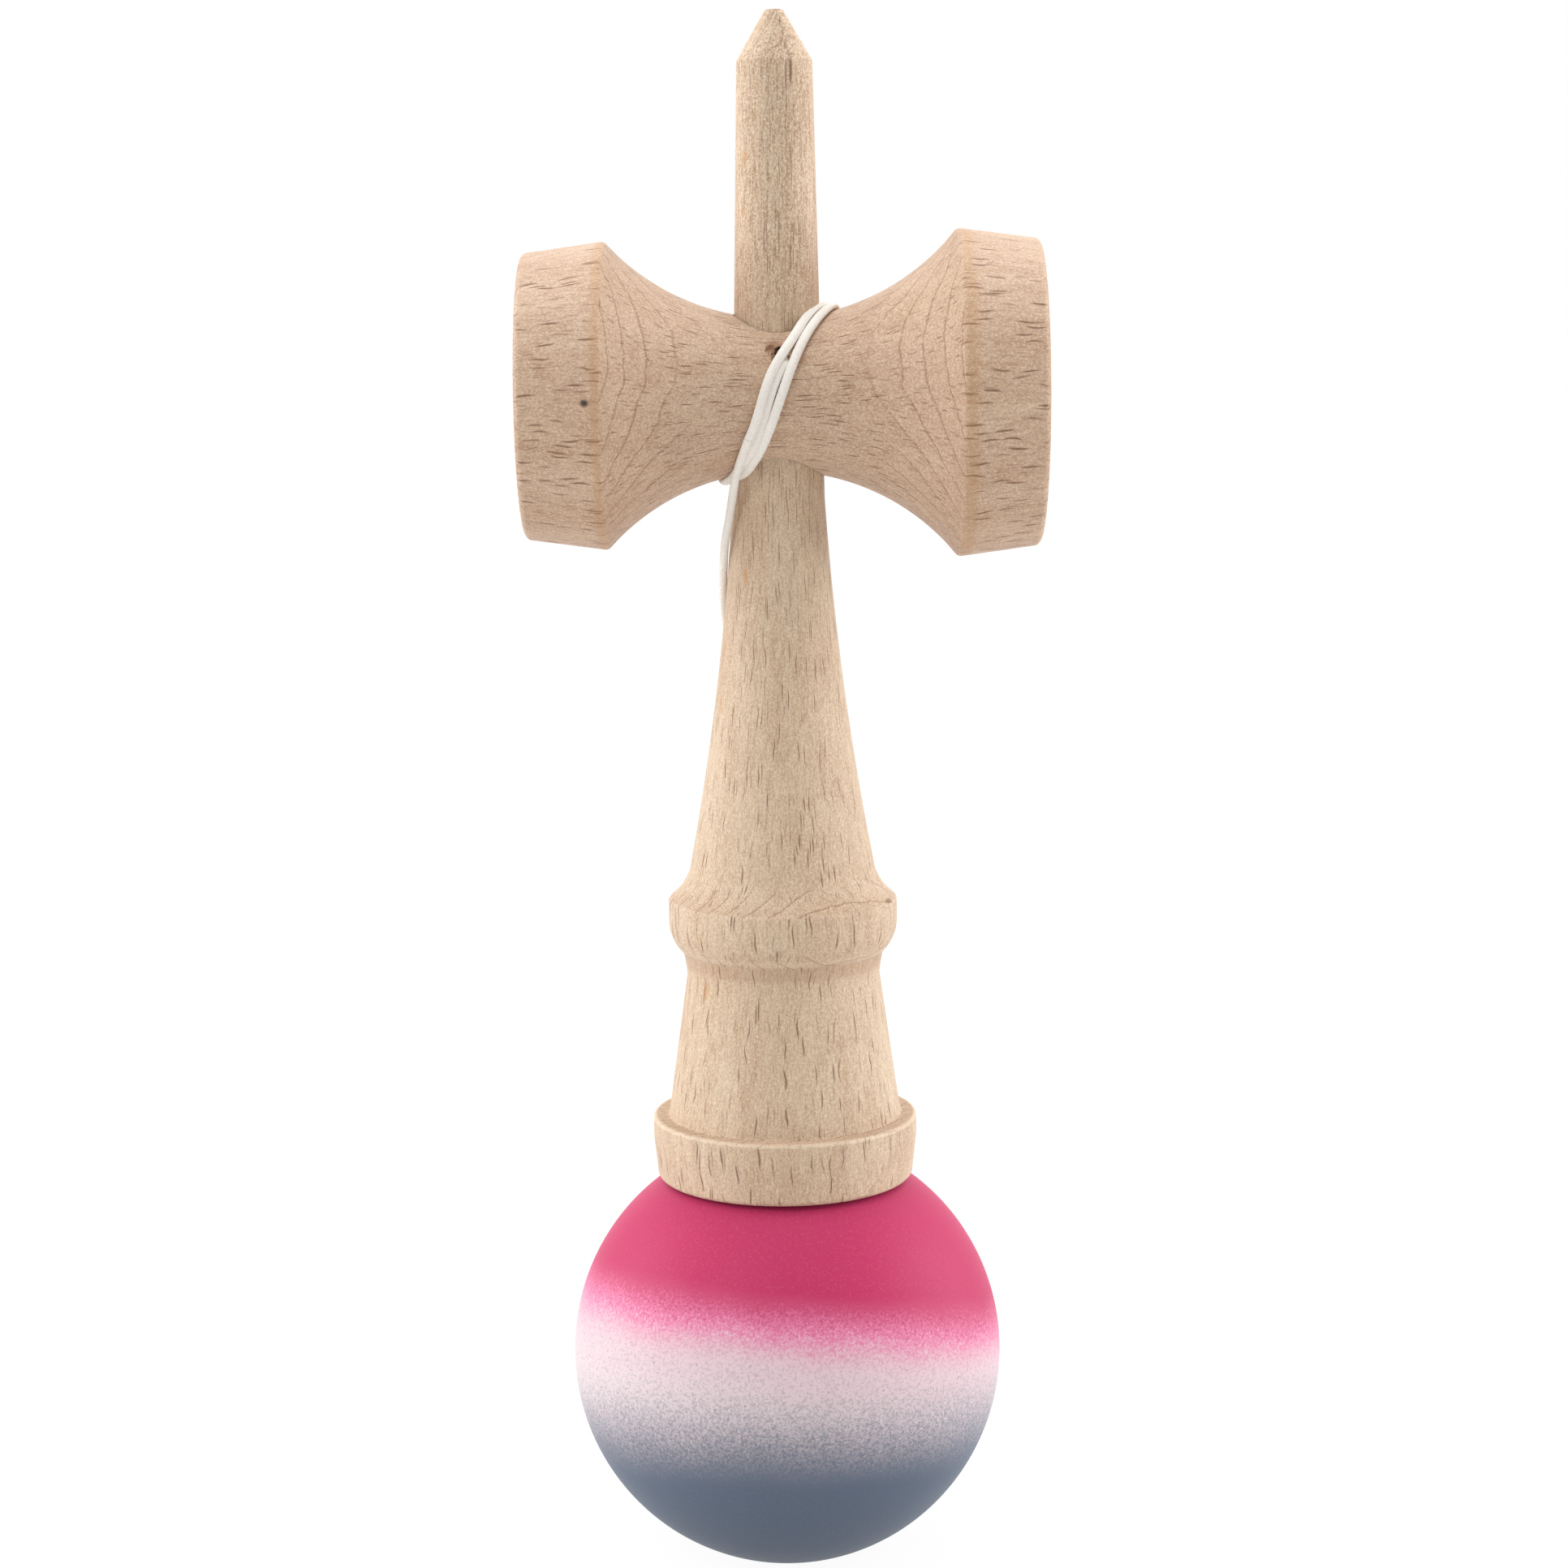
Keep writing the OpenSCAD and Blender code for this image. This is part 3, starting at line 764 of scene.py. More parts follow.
bore_clearance = 0.1
bore_reach = 20
bore_sides = 96
bore_tear = 0.03
tear_from = 5
tear_fade = 3
bore_heights = np.linspace(-bore_reach, bore_reach, 120)
bore_outline = np.stack(
    [taper_radius(sarado_z + bore_heights) + bore_clearance, sarado_z + bore_heights], axis=1
)
bore_grid = turn(bore_outline, bore_sides)
around = np.arctan2(bore_grid[..., 1], bore_grid[..., 0])
upper = np.clip((bore_heights - tear_from) / tear_fade, 0, 1)[:, None]
tear = bore_tear * upper * np.maximum(ripple(around, bore_grid[..., 2], 5), 0)
bore_cutter = put_piece("bore_cutter", widened(bore_grid, tear))

drill_outline = np.array([[2, -14], [1.7, -9.2], [1.25, -8.2], [0.85, -7.7], [string_bore_r, 0]])
drill_grid = ragged(filled(drill_outline, 0.4), sides=64, depth=0.12, seed=9)
drill_cutter = put_piece("drill_cutter", through_front(drill_grid, x=drill_x))
chip_outline = np.array([[1.5, -12], [1.15, -8.8], [0.7, -7.9], [0.1, -7.5]])
chip_grid = ragged(filled(chip_outline, 0.3), sides=40, depth=0.25, seed=21, pitch=2)
chip_cutter = put_piece("chip_cutter", through_front(chip_grid, x=-0.8, up=0.8))
cut(sarado, bore_cutter, drill_cutter, chip_cutter)
print("sarado:", len(sarado.data.polygons), "faces")

# %% [markdown]
# ## The tama and its bead
# The ball's outline is a closed loop: up the string hole, over the paint, round the flat ring
# that it stands on, and back up the bevelled big hole to its pointed end. The bead hangs in
# that point and carries the knot. A sphere with holes cut in it would need its edges rounded
# afterwards, while the loop has them from the start.

# %% The tama
mouth_w = 0.95
mouth_h = 1
mouth_round = 0.35
hole_round = 0.4
rest_round = 0.5
bevel_round = 0.3
wall_round = 0.5
tama_sides = 208
tama_step = 0.6

ana_wall_top_z = ana_bevel + ana_wall_h
ana_apex_z = ana_wall_top_z + ana_r / math.tan(ana_point_angle)
hole_foot_z = ana_apex_z - tama_hole_r / math.tan(ana_point_angle)
mouth_r = tama_hole_r + mouth_w
mouth = np.array([mouth_r, tama_z + math.sqrt(tama_r**2 - mouth_r**2)])
top_angle = math.asin(mouth_r / tama_r)
low_angle = math.pi - math.asin(rest_r / tama_r)
skin_angles = np.linspace(top_angle, low_angle, 150)
skin = np.stack([tama_r * np.sin(skin_angles), tama_z + tama_r * np.cos(skin_angles)], axis=1)
hole_top = np.array([tama_hole_r, tama_top_z - mouth_h])
bevel_out = np.array([ana_r + ana_bevel, 0])
bevel_in = np.array([ana_r, ana_bevel])
wall_top = np.array([ana_r, ana_wall_top_z])
hole_foot = np.array([tama_hole_r, hole_foot_z])
tama_outline = np.concatenate([
    [hole_foot],
    rounded(hole_foot, hole_top, mouth, hole_round),
    rounded(hole_top, mouth, skin[6], mouth_round),
    skin[3:-2],
    rounded(skin[-6], skin[-1], bevel_out, rest_round),
    rounded(skin[-1], bevel_out, bevel_in, bevel_round),
    rounded(bevel_out, bevel_in, wall_top, bevel_round),
    rounded(bevel_in, wall_top, hole_foot, wall_round),
])
tama_outline = filled(np.concatenate([tama_outline, tama_outline[:1]]), tama_step)[:-1]
tama = put_piece("turned_tama", turn(tama_outline, tama_sides), ring=True)
print("tama:", len(tama.data.polygons), "faces")

# %% The bead
bead_hole_r = 1
bead_round_r = 0.3
bead_step = 0.3
bead_sides = 96
bead_corner = np.array([bead_hole_r, math.sqrt(bead_r**2 - bead_hole_r**2)])
skin_angles = np.radians(np.linspace(24, 156, 40))
bead_skin = bead_r * np.stack([np.sin(skin_angles), np.cos(skin_angles)], axis=1)
bead_outline = np.concatenate([
    rounded([bead_hole_r, 0], bead_corner, bead_skin[0], bead_round_r),
    bead_skin,
    rounded(bead_skin[-1], bead_corner * [1, -1], [bead_hole_r, 0], bead_round_r),
])
bead_outline = filled(np.concatenate([bead_outline, bead_outline[:1]]), bead_step)[:-1]
bead = put_piece("turned_bead", turn(bead_outline + [0, bead_z], bead_sides), ring=True)
print("bead:", len(bead.data.polygons), "faces")

# %% [markdown]
# ## End grain, and what each piece stands for
# Growth rings show best where a turned surface cuts across the fibres. A material knows a
# point's place but not how the wood was cut, so each point of the bare wood keeps a number for
# it. The ken's and the bead's grain stands upright, the cross piece's runs from cup to cup.
# After that, every turned piece rides on its body, and the imported node it stands for is hidden.


# %% End grain
def mark_end_grain(piece, axis):
    """Stores on each point how squarely its surface cuts across the grain: the size of its
    normal's part along that axis, 0 on a flat of the board and 1 on its end."""
    normals = np.empty(3 * len(piece.data.vertices))
    piece.data.vertex_normals.foreach_get("vector", normals)
    end_grain = piece.data.attributes.new("end_grain", "FLOAT", "POINT")
    end_grain.data.foreach_set("value", np.abs(normals.reshape(-1, 3)[:, axis]))


upright = 2
sideways = 0
mark_end_grain(ken, upright)
mark_end_grain(sarado, sideways)
mark_end_grain(bead, upright)
print("end grain on", [piece.name for piece in (ken, sarado, bead)])

# %% Bodies and hidden nodes
for piece, body, slot in [
    (ken, "ken", "ken_wood"), (sarado, "sarado", "sarado_wood"),
    (tama, "tama", "tama_paint"), (bead, "bead", "bead_wood"),
]:
    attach(piece, body)
    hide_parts(body)
    print(piece.name, "rides on", body)

# %% [markdown]
# ## Sums as shader nodes
# A finish is easiest to read as a formula, so one small class wraps a node's output and lets
# Python's operators add Math nodes. Another class holds the nodes of a material or of the world
# and has one method that adds any node: its settings first, then the numbers or links of its
# sockets.


# %% Wires
class Wire:
    """A node's output that takes part in Python sums."""

    def __init__(self, finish, socket):
        self.finish = finish
        self.socket = socket

    def maths(self, operation, *values):
        return self.finish.node("ShaderNodeMath", {"operation": operation}, dict(enumerate(values)))

    def __add__(self, other):
        return self.maths("ADD", self, other)

    def __radd__(self, other):
        return self.maths("ADD", other, self)

    def __sub__(self, other):
        return self.maths("SUBTRACT", self, other)

    def __rsub__(self, other):
        return self.maths("SUBTRACT", other, self)

    def __mul__(self, other):
        return self.maths("MULTIPLY", self, other)

    def __rmul__(self, other):
        return self.maths("MULTIPLY", other, self)

    def __truediv__(self, other):
        return self.maths("DIVIDE", self, other)

    def __pow__(self, other):
        return self.maths("POWER", self, other)

    def root(self):
        return self.maths("SQRT", self)

    def fraction(self):
        return self.maths("FRACT", self)

    def size(self):
        return self.maths("ABSOLUTE", self)

    def limited(self):
        """The value held between 0 and 1."""
        return self.finish.node("ShaderNodeClamp", None, {"Value": self})

    def step(self, low, high):
        """Smooth step of the value: 0 at low, 1 at high, even if high is the smaller."""
        limits = {"Value": self, "From Min": min(low, high), "From Max": max(low, high)}
        limits["To Min"] = 0.0 if low < high else 1.0
        limits["To Max"] = 1.0 if low < high else 0.0
        return self.finish.node("ShaderNodeMapRange", {"interpolation_type": "SMOOTHSTEP"}, limits)


# %% Finishes
class Finish:
    """The nodes of a material or of the world, and the ways to add them."""

    def __init__(self, owner):
        owner.use_nodes = True
        self.owner = owner
        self.tree = owner.node_tree
        self.tree.nodes.clear()

    def node(self, kind, settings=None, inputs=None, output=0):
        """Adds a node with its settings, then its sockets' values or links."""
        made = self.tree.nodes.new(kind)
        for name, value in (settings or {}).items():
            setattr(made, name, value)
        for name, value in (inputs or {}).items():
            if isinstance(value, Wire):
                self.tree.links.new(value.socket, made.inputs[name])
            else:
                made.inputs[name].default_value = value
        return Wire(self, made.outputs[output]) if made.outputs else None

    def vector_maths(self, operation, *values):
        """A sum of vectors."""
        output = "Value" if operation == "LENGTH" else "Vector"
        inputs = dict(enumerate(values))
        return self.node("ShaderNodeVectorMath", {"operation": operation}, inputs, output)

    def scaled(self, point, size):
        """A place counted in steps of that size."""
        return self.vector_maths("DIVIDE", point, (size, size, size))

    def place(self):
        """Object coordinates in millimetres."""
        return self.scaled(self.node("ShaderNodeTexCoord", output="Object"), MM)

    def parts(self, vector):
        """A vector's x, y and z."""
        first = self.node("ShaderNodeSeparateXYZ", None, {0: vector})
        return [Wire(self, output) for output in first.socket.node.outputs]

    def vector(self, x, y, z):
        return self.node("ShaderNodeCombineXYZ", None, {0: x, 1: y, 2: z})

    def spot(self, point, middle, size):
        """1 in the middle of an egg of that half size, falling smoothly to 0 at its skin."""
        off = self.vector_maths("DIVIDE", self.vector_maths("SUBTRACT", point, middle), size)
        return self.vector_maths("LENGTH", off).step(1.0, 0.35)

    def cells(self, vector):
        """Distance to the nearest point of a scattered pattern, and that point's random number."""
        near = self.node("ShaderNodeTexVoronoi", None, {"Vector": vector, "Scale": 1.0})
        colour = Wire(self, near.socket.node.outputs["Color"])
        return near, self.node("ShaderNodeSeparateColor", None, {0: colour})

    def noise(self, vector, detail=1.0, roughness=0.5):
        """Smooth noise around one half, with features about one unit across."""
        sockets = {"Vector": vector, "Scale": 1.0, "Detail": detail, "Roughness": roughness}
        return self.node("ShaderNodeTexNoise", None, sockets)

    def mix(self, factor, a, b):
        """Colour a where the factor is 0 and b where it is 1."""
        return self.node("ShaderNodeMix", {"data_type": "RGBA"}, {0: factor, 6: a, 7: b}, 2)

    def layered(self, base, layers):
        """A base colour under layers that are laid on in order, each a cover and its colour."""
        for cover, colour in layers:
            base = self.mix(cover, base, colour)
        return base

    def seen(self):
        """1 for a ray that ends in the picture, straight, in gloss or through glass, else 0."""
        straight = self.node("ShaderNodeLightPath", output="Is Camera Ray")
        outputs = straight.socket.node.outputs
        gloss = Wire(self, outputs["Is Glossy Ray"])
        clear = Wire(self, outputs["Is Transmission Ray"])
        return (straight + gloss + clear).step(0.0, 1.0)

    def surface(self, sockets, bump, strength, distance):
        """Ends the material in a Principled shader with a bump height."""
        relief = {"Height": bump, "Strength": strength, "Distance": distance}
        normal = self.node("ShaderNodeBump", None, relief)
        shader = self.node("ShaderNodeBsdfPrincipled", None, {**sockets, "Normal": normal})
        self.node("ShaderNodeOutputMaterial", None, {"Surface": shader})
        return self.owner


# %% Colours
def tone(red, green, blue):
    """A colour as the eye reads it, 0 to 255, turned to the linear values that Blender wants."""
    parts = np.array([red, green, blue]) / 255
    linear = np.where(parts <= 0.04045, parts / 12.92, ((parts + 0.055) / 1.055) ** 2.4)
    return (*linear.tolist(), 1.0)


print("tone(255, 128, 0) is", [round(v, 3) for v in tone(255, 128, 0)])

# %% [markdown]
# ## Bare beech
# Beech is pale and even, with a slightly pink cast. Three things make it beech and not just
# tan: thin darker lines at the growth rings, which show as nested arcs wherever a turned
# surface cuts across them; short dark flecks, the ends of the wood's rays, two or three
# millimetres long and always along the grain; and a fine silky streak. All three are solid
# patterns in the wood, so they run through every curve as they do in the real piece.


# %% Beech
fleck_depth = 5


def beech(name, grain, tilt, heart, rings, fleck_size, pale, deep,
          middle=0, rub_and_contact_shade=(), edge_light_and_shade=(), marks=(), raw_range=None):
    """Wood with its grain along Z, or along X at the height of its middle.
    The rings are shells round a heart behind the piece, in a direction tilted from the front,
    with a first place and a step; they show where the surface cuts across the grain.
    A fleck is a flat thin cell of a scattered pattern, edge on to the turned surface. Its size
    is its width, its length, how rare it is, and the radius at which the width holds.
    Rubbed lists the places along the grain where the tool rubbed an edge warm, and their widths.
    The edge list gives round edges painted highlight and painted shade, each by radius, height,
    size, colour and strength; marks the single spots and cracks, by place, half size, colour and
    strength.
    Over raw_range along the grain the surface gets rougher."""
    finish = Finish(bpy.data.materials.new(name))
    point = finish.place()
    x, y, z = finish.parts(point)
    along, side = (x, z - middle) if grain == "X" else (z, x)
    depth = side * math.sin(tilt) - y * math.cos(tilt)
    across = side * math.cos(tilt) + y * math.sin(tilt)
    radius = (side**2 + y**2).root()
    end_grain = finish.node("ShaderNodeAttribute", {"attribute_name": "end_grain"}, None, "Fac")
    cut_through = end_grain.step(0.33, 0.6)

    def grained(thick, long, detail=1.0, roughness=0.5):
        """Noise drawn out along the grain."""
        place = finish.vector(across / thick, depth / thick, along / long)
        return finish.noise(place, detail, roughness)

    ring_start, ring_step = rings
    slow = grained(12, 40)
    scallop = finish.noise(finish.vector(across / 2.4, depth / 8, along / 8))
    shell = ((depth + heart) ** 2 + across**2).root() - heart
    ring = (shell + (slow - 0.5) * 2.4 + (scallop - 0.5) * 0.6 - ring_start) / ring_step
    phase = ring.fraction()
    line = phase.step(0.86, 0.975) * phase.step(1.0, 0.985) * (0.14 + cut_through * 0.86)
    season = phase.step(0.0, 0.95)

    wide, tall, rare, girth_r = fleck_size
    girth = side.maths("ARCTAN2", side, 0 - y) * girth_r
    bent = girth + (grained(3, 4) - 0.5) * 0.8
    split = 1 - cut_through * 0.4

    def flecks(thick, long, core, chosen):
        """Scattered cells of that size, cut down to their cores, the chosen ones darkest."""
        place = finish.vector(bent / thick, radius / (fleck_depth * thick), along / long)
        near, chance = finish.cells(place)
        return near.step(*core) * chance.step(*chosen) * split

    fleck = flecks(wide, tall, (0.36, 0.14), (rare, rare + 0.6))
    small = flecks(0.6 * wide, 0.5 * tall, (0.32, 0.12), (0.2, 1.0))
    streak = grained(0.28, 2.6, 3.0, 0.65)
    cloud = grained(8, 22, 2.0)
    band = grained(1.8, 50, 2.0, 0.6)
    grit = grained(0.24, 0.34, 2.0, 0.7)
    raw = along.step(*raw_range) if raw_range else 0

    layers = [
        (season * 0.08, tone(165, 124, 92)),
        (band.step(0.5, 0.72) * 0.24, tone(168, 126, 90)),
        (band.step(0.48, 0.28) * 0.24, tone(226, 202, 170)),
        (end_grain.step(0.55, 1.0) * 0.4, tone(160, 120, 88)),
        (line * 0.62, tone(136, 90, 62)),
        (streak.step(0.47, 0.7) * (0.32 + raw * 0.36), tone(156, 116, 87)),
        (streak.step(0.48, 0.28) * 0.3, tone(230, 211, 188)),
        (grit.step(0.48, 0.7) * (0.44 + raw * 0.2), tone(238, 221, 200)),
        (grit.step(0.52, 0.3) * (0.34 + raw * 0.2), tone(150, 113, 86)),
        (small * 0.34, tone(138, 98, 72)),
        (fleck * 0.8, tone(120, 82, 60)),
    ]
    # painted highlights and painted shade along round edges
    for edge_r, level, size, colour, strength in edge_light_and_shade:
        off = ((radius - edge_r) ** 2 + (along - level) ** 2).root()
        layers.append((off.step(size, 0.4 * size) * strength, colour))
    for place, width in rub_and_contact_shade:
        warm = (along - place).size().step(width, 0.1 * width) * radius.step(14.0, 18.0)
        layers.append((warm * 0.34, tone(184, 136, 84)))
    for place, size, colour, strength in marks:
        layers.append((finish.spot(point, place, size) * strength, colour))
    wood = finish.layered(finish.mix(cloud.step(0.3, 0.7), pale, deep), layers)

    rough = 0.56 + streak * 0.1 + fleck * 0.12
    height = streak * 0.45 + grit * 0.4 - fleck * 0.9 - small * 0.4
    sockets = {"Base Color": wood, "Roughness": rough, "Specular IOR Level": 0.26,
               "Sheen Weight": 0.1}
    return finish.surface(sockets, height, 0.4, 0.00012)


print("a fleck is", fleck_depth, "times as deep as wide")

# %% Marks of making and use, and painted light on the ken's edges
amber = tone(196, 142, 88)
torn = tone(118, 80, 54)
fresh = tone(236, 216, 190)
hole_brown = tone(150, 100, 66)
knot_dark = tone(60, 48, 40)
ken_marks = [
    ((-4.0, -3.5, 193.0), (0.5, 0.8, 1.8), amber, 0.55),
    ((-4.4, -3.3, 186.0), (0.5, 0.8, 0.9), amber, 0.45),
    ((-4.6, -5.3, 137.6), (0.45, 0.8, 1.6), amber, 0.6),
    ((-7.5, -2.8, 127.5), (0.6, 0.8, 1.3), amber, 0.4),
    ((-8.2, -3.8, 119.8), (0.6, 0.8, 1.5), amber, 0.4),
    ((-10.6, -8.4, 81.2), (1.0, 1.2, 1.5), amber, 0.4),
    ((14.5, -5.4, 92.9), (1.0, 1.6, 0.4), torn, 0.7),
    ((2.6, -4.2, 207.2), (0.6, 1.0, 0.5), fresh, 0.6),
    ((2.14, -4.45, 204.4), (0.3, 1.5, 2.7), torn, 0.75),
    ((1.49, -4.7, 204.0), (0.17, 1.5, 3.1), torn, 0.6),
    ((0.78, -1.9, 211.0), (0.17, 0.8, 0.9), torn, 0.6),
    ((1.13, -2.8, 209.4), (0.15, 1.0, 1.4), torn, 0.55),
    ((1.45, -3.8, 207.6), (0.25, 1.0, 0.8), torn, 0.55),
    ((2.3, -4.1, 206.5), (0.9, 1.0, 0.2), torn, 0.5),
]
sarado_marks = [
    ((-25.0, -20.9, 161.6), (0.85, 1.6, 0.75), knot_dark, 0.95),
    ((-27.2, -20.9, 161.7), (2.2, 1.0, 0.16), torn, 0.6),
    # a darker brown spot round and inside the neck's string hole
    ((-0.4, -8.0, 168.2), (1.7, 2.4, 1.7), hole_brown, 0.6),
]
# Painted light on the ken: highlights on two round edges and shade in the hollow under the crease.
ken_edge_light_and_shade = [
    # painted highlight along the rounded front edge of the base's ledge
    (base_r - 0.1, ken_z + base_h - 0.1, 0.55, tone(240, 222, 198), 0.3),
    # painted shade in the hollow just under the collar's crease
    (crease[0], ken_z + crease[1] - 0.9, 1.5, tone(172, 136, 110), 0.36),
    # painted highlight on the swell just above the crease
    (crease[0] + 0.5, ken_z + crease[1] + 0.9, 0.8, tone(236, 214, 188), 0.24),
]
sarado_rubbed = [(flare_reach(big_cup_d) + 0.9, 1.4), (-flare_reach(small_cup_d) - 0.5, 1.0)]
print(len(ken_marks), "marks on the ken,", len(sarado_marks), "on the cross piece")

# %% The three woods
ken_wood = beech(
    "ken_wood", "Z", tilt=math.radians(43), heart=20, rings=(14.4, 1.9),
    fleck_size=(0.27, 7.0, 0.15, 9), pale=tone(212, 190, 163), deep=tone(205, 180, 152),
    edge_light_and_shade=ken_edge_light_and_shade, marks=ken_marks, raw_range=(172, 176),
)
sarado_wood = beech(
    "sarado_wood", "X", tilt=math.radians(20), heart=40, rings=(13.0, 2.2),
    fleck_size=(0.34, 5.5, 0.0, 12.5), pale=tone(206, 177, 152), deep=tone(197, 166, 140),
    middle=sarado_z, rub_and_contact_shade=sarado_rubbed, marks=sarado_marks,
)
bead_wood = beech(
    "bead_wood", "Z", tilt=0.3, heart=6, rings=(1.0, 1.1),
    fleck_size=(0.3, 1.6, 0.1, 3), pale=tone(178, 134, 94), deep=tone(160, 114, 78),
)
for piece, wood in [(ken, ken_wood), (sarado, sarado_wood), (bead, bead_wood)]:
    piece.data.materials.append(wood)
    print(wood.name, "has", len(wood.node_tree.nodes), "nodes")

# %% [markdown]
# ## Sprayed paint
# The ball was sprayed pink from above and grey-blue from below over a white ground. Where a
# spray thins out, it breaks up into single droplets, so each fade is a cover that falls from 1
# to 0 over about a centimetre, with grains of noise added before it is cut off. The two
# sprays were held at slightly different angles, so their edges aren't parallel. Inside the
# big hole the wood is bare. Where the base cup's lip meets the ball, a dark ring of painted
# shade lies on the pink. A painted image would have a seam somewhere, while heights and noise go
# all round the ball.


# %% Sprayed paint
pink_edge = (27.9, 39.4)
blush_edge = (21.0, 33.0)
blue_edge = (27.0, 11.0)
pink_slant = 0.105
spray_lean = 0.2
droplet_gap = 1.5
bare_edge = (9.3, 9.0)
# radius of the ring of painted shade on the pink where the base cup's lip meets the ball
contact_shade_r = tama_r * math.sin(math.radians(lip_angle))


def sprayed(name):
    """Three coats by height: pink over white over grey-blue, with droplets at their edges."""
    finish = Finish(bpy.data.materials.new(name))
    point = finish.place()
    x, y, z = finish.parts(point)
    wide = finish.noise(finish.scaled(point, 11))
    fine = finish.noise(finish.scaled(point, 0.24))
    mid = finish.noise(finish.scaled(point, 0.45))
    grain = (fine - 0.5) * 1.3 + (mid - 0.5)
    pink_height = z + x * pink_slant + y * spray_lean + (wide - 0.5) * 2.4
    blue_height = z + y * spray_lean + (wide - 0.5) * 2.0
    pink_cover = pink_height.step(*pink_edge)
    blue_cover = blue_height.step(*blue_edge)
    pink_fade = (pink_cover + grain * (pink_cover * (1 - pink_cover)) * 2.6).limited()
    blue_fade = (blue_cover + grain * (blue_cover * (1 - blue_cover)) * 2.2).limited()
    near, _ = finish.cells(finish.scaled(point, droplet_gap))
    dots = near.step(0.14, 0.06) * pink_cover.step(0.9, 0.3)

    radius = (x**2 + y**2).root()
    # painted shade: a dark ring on the pink where the base cup's lip meets the ball
    rub_and_contact_shade = (radius - contact_shade_r).size().step(1.1, 0.2) * z.step(tama_z, tama_z + 10)
    under_skin = ((z - tama_z) ** 2 + x**2 + y**2).root().step(tama_r - 0.6, tama_r - 0.9)
    inside = radius.step(*bare_edge) * under_skin
    streak = finish.noise(finish.vector(x / 3, y / 0.4, z / 0.4), 2.0)
    bare = finish.mix(streak.step(0.35, 0.7), tone(214, 188, 160), tone(184, 150, 118))
    ground = finish.mix(grain.step(-0.1, 0.3) * 0.7, tone(224, 209, 212), tone(184, 174, 179))
    paint = finish.layered(ground, [
        (pink_height.step(*blush_edge) * 0.4, tone(222, 164, 184)),
        (dots * 0.35, tone(128, 92, 112)),
        ((pink_fade * 2).limited(), tone(221, 128, 164)),
        ((pink_fade * 2 - 1).limited(), tone(187, 53, 97)),
        (blue_fade, tone(96, 108, 126)),
        (grain.step(0.0, 0.4) * 0.03, tone(240, 220, 226)),
        # the ring of painted shade under the lip
        (rub_and_contact_shade * 0.35, tone(116, 32, 60)),
        (inside, bare),
    ])
    rough = 0.46 + grain * 0.12 + inside * 0.15
    sockets = {"Base Color": paint, "Roughness": rough, "Specular IOR Level": 0.14}
    return finish.surface(sockets, grain, 0.10, 0.0001)


tama_paint = sprayed("tama_paint")
tama.data.materials.append(tama_paint)
print("paint:", len(tama_paint.node_tree.nodes), "nodes")

# %% [markdown]
# ## White braid
# The string is soft white yarn. Its braid is in the mesh already, so the finish only adds
# what is too fine for it: threads a tenth of a millimetre wide, and patches that handling has
# soiled a little. Hairs could stand for the threads, but noise does the same for far less.


# %% White braid
def white_braid(name):
    """Off-white yarn with fine uneven threads, matt and a little fuzzy."""
    finish = Finish(bpy.data.materials.new(name))
    point = finish.place()
    fuzz = finish.noise(finish.scaled(point, 0.12), 2.0)
    soil = finish.noise(finish.scaled(point, 6))
    yarn = finish.mix(fuzz.step(0.35, 0.7) * 0.7, tone(255, 251, 244), tone(229, 222, 212))
    yarn = finish.mix(soil.step(0.45, 0.75) * 0.2, yarn, tone(232, 224, 212))
    sockets = {"Base Color": yarn, "Roughness": 0.85, "Specular IOR Level": 0.2,
               "Sheen Weight": 0.15}
    return finish.surface(sockets, fuzz, 0.35, 0.00008)


string_yarn = white_braid("string")
for piece in string_pieces:
    piece.data.materials.append(string_yarn)
print("yarn on", len(string_pieces), "pieces")

# %% [markdown]
# ## Floor and light
# The toy stands in front of white paper in soft light that comes from all round but least from
# the camera's side, so its edges are brighter than its front. The world does that: its
# strength depends on the direction, and five soft lamps add to it. The camera sees the world and
# the floor as white, and the floor keeps a faint shadow. A photographed studio could light it as
# well, but a formula needs no file.


# %% Floor
def paper(name):
    """White paper that the camera sees nearly full white, with a weak shadow left on it."""
    finish = Finish(bpy.data.materials.new(name))
    matt = finish.node("ShaderNodeBsdfDiffuse", None, {"Color": tone(196, 195, 194)})
    glow = finish.node("ShaderNodeEmission", None, {"Color": (1, 1, 1, 1), "Strength": 1.1})
    both = finish.node("ShaderNodeMixShader", None, {0: finish.seen() * 0.86, 1: matt, 2: glow})
    finish.node("ShaderNodeOutputMaterial", None, {"Surface": both})
    return finish.owner


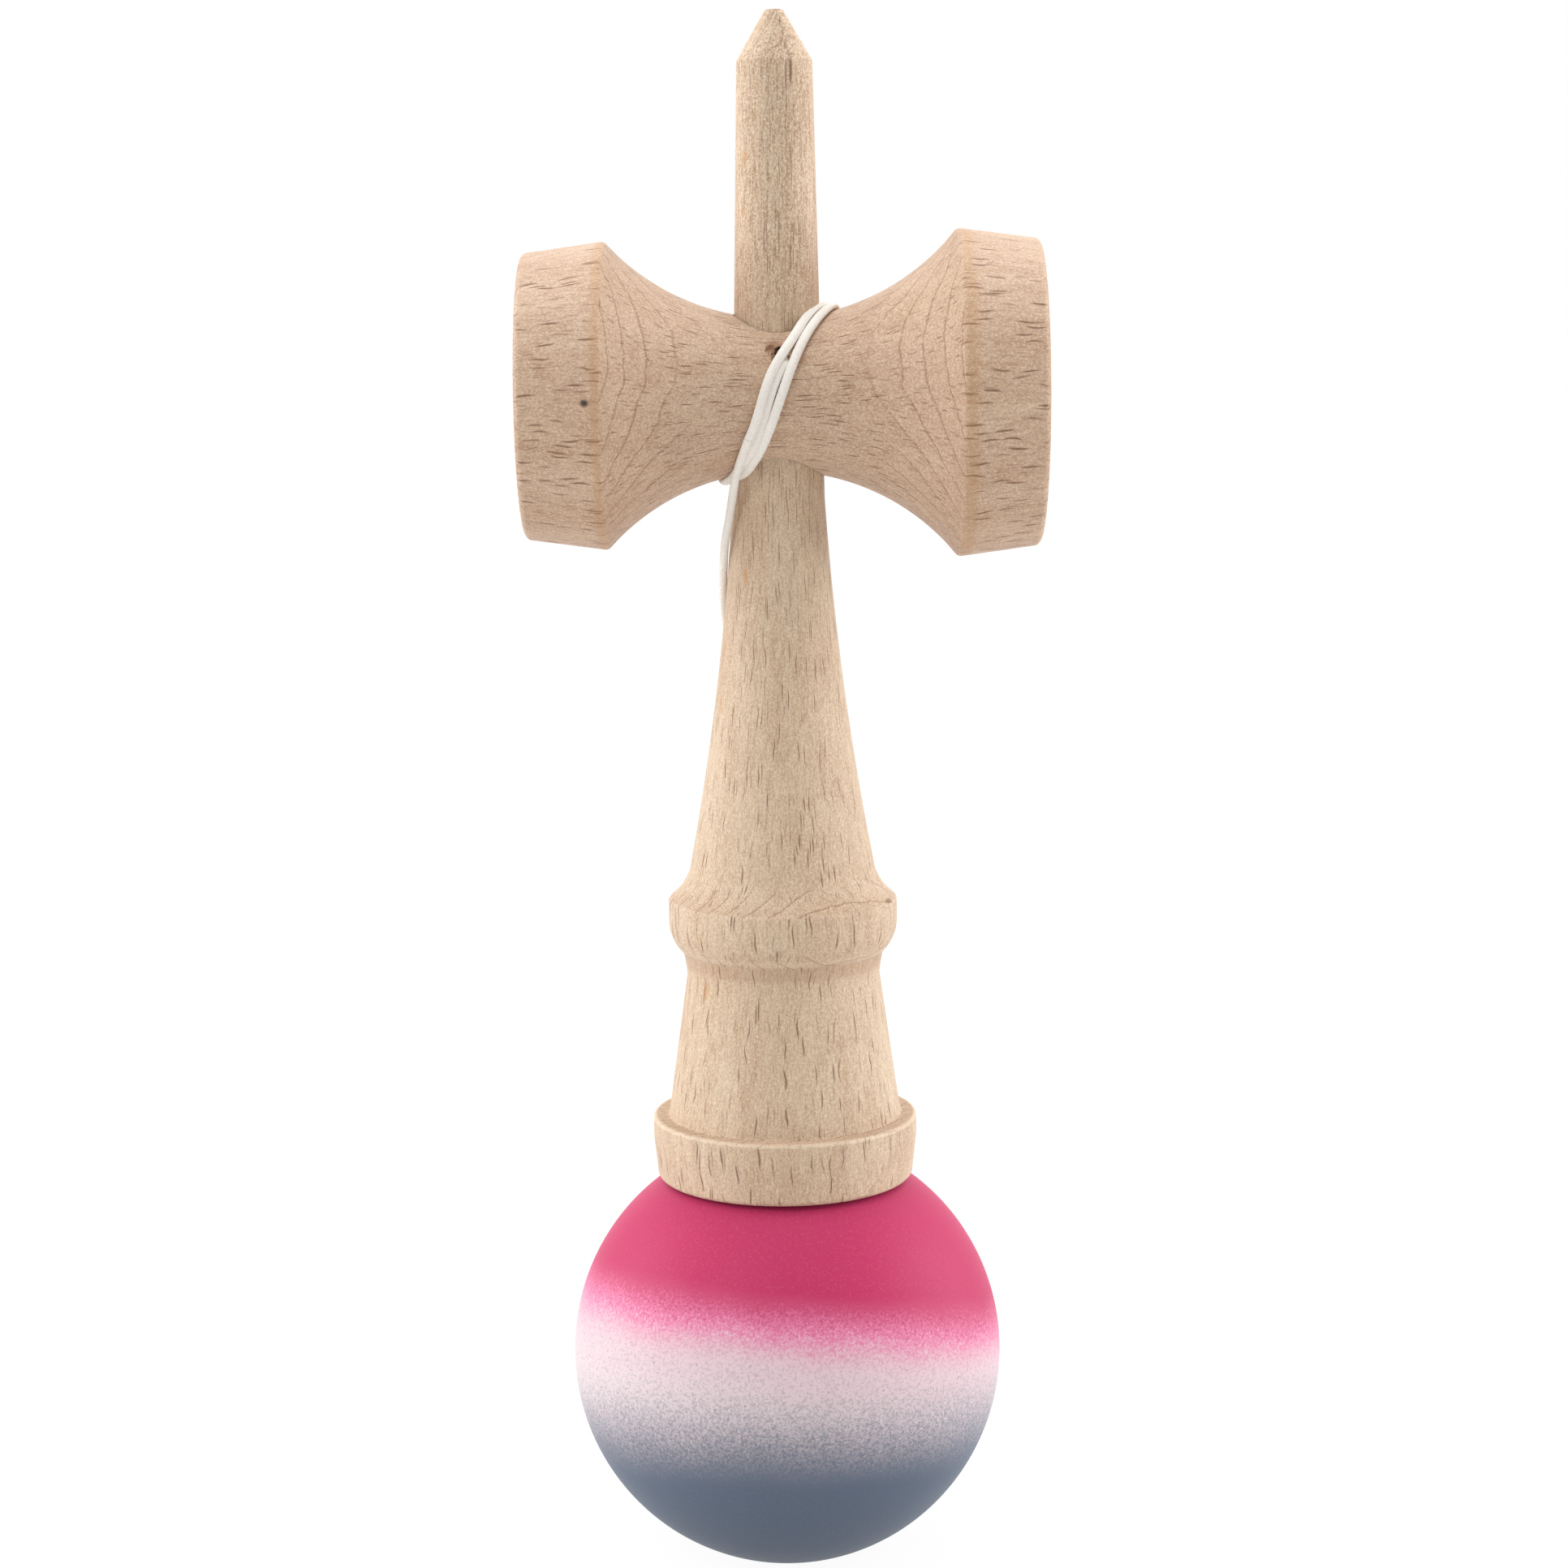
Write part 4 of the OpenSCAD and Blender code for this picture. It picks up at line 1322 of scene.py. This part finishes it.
floor_half = 4000
floor_drop = 0.05
floor_corners = np.array([[-1, -1, 0], [1, -1, 0], [1, 1, 0], [-1, 1, 0]]) * floor_half
floor_corners = (floor_corners - [0, 0, floor_drop]) * MM
floor_mesh = bpy.data.meshes.new("floor")
floor_mesh.from_pydata(floor_corners.tolist(), [], [(0, 1, 2, 3)])
floor_mesh.materials.append(paper("paper"))
floor = bpy.data.objects.new("floor", floor_mesh)
bpy.context.scene.collection.objects.link(floor)
print("floor", 2 * floor_half * MM, "m wide")

# %% The world
world = bpy.data.worlds.new("studio")
bpy.context.scene.world = world
sky = Finish(world)
_, front, height = sky.parts(sky.node("ShaderNodeTexCoord", output="Generated"))
light = 0.25 + 0.72 * front.step(-0.85, 0.1) + 0.16 * height.step(0.1, 0.9)
seen = sky.seen()
strength = seen + light * (1 - seen)
studio = sky.node("ShaderNodeBackground", None, {"Color": (1, 1, 1, 1), "Strength": strength})
sky.node("ShaderNodeOutputWorld", None, {"Surface": studio})
print("world:", len(world.node_tree.nodes), "nodes")


# %% Lamps
def softbox(name, place, turn_z, tilt_x, size, watts):
    """A square lamp that shines along its own downward axis after a tilt and a turn."""
    lamp_data = bpy.data.lights.new(name, "AREA")
    lamp_data.shape = "SQUARE"
    lamp_data.size = size
    lamp_data.energy = watts
    lamp = bpy.data.objects.new(name, lamp_data)
    bpy.context.scene.collection.objects.link(lamp)
    lamp.matrix_world = (
        Matrix.Translation(place)
        @ Matrix.Rotation(math.radians(turn_z), 4, "Z")
        @ Matrix.Rotation(math.radians(tilt_x), 4, "X")
    )


softbox("left", (-0.9, 0.12, 0.3), -90, 78, 0.8, 6.5)
softbox("right", (0.9, 0.12, 0.3), 90, 78, 0.8, 6.9)
softbox("top", (0, 0.2, 1.1), 0, -10, 0.7, 5.0)
softbox("key", (-0.45, -0.6, 0.75), -37, 55, 0.3, 1.6)
softbox("fill", (0, -0.3, 0.03), 0, 90, 0.15, 0.12)
bpy.context.scene.view_settings.view_transform = "Standard"
print("lamps:", [lamp.name for lamp in bpy.data.lights])
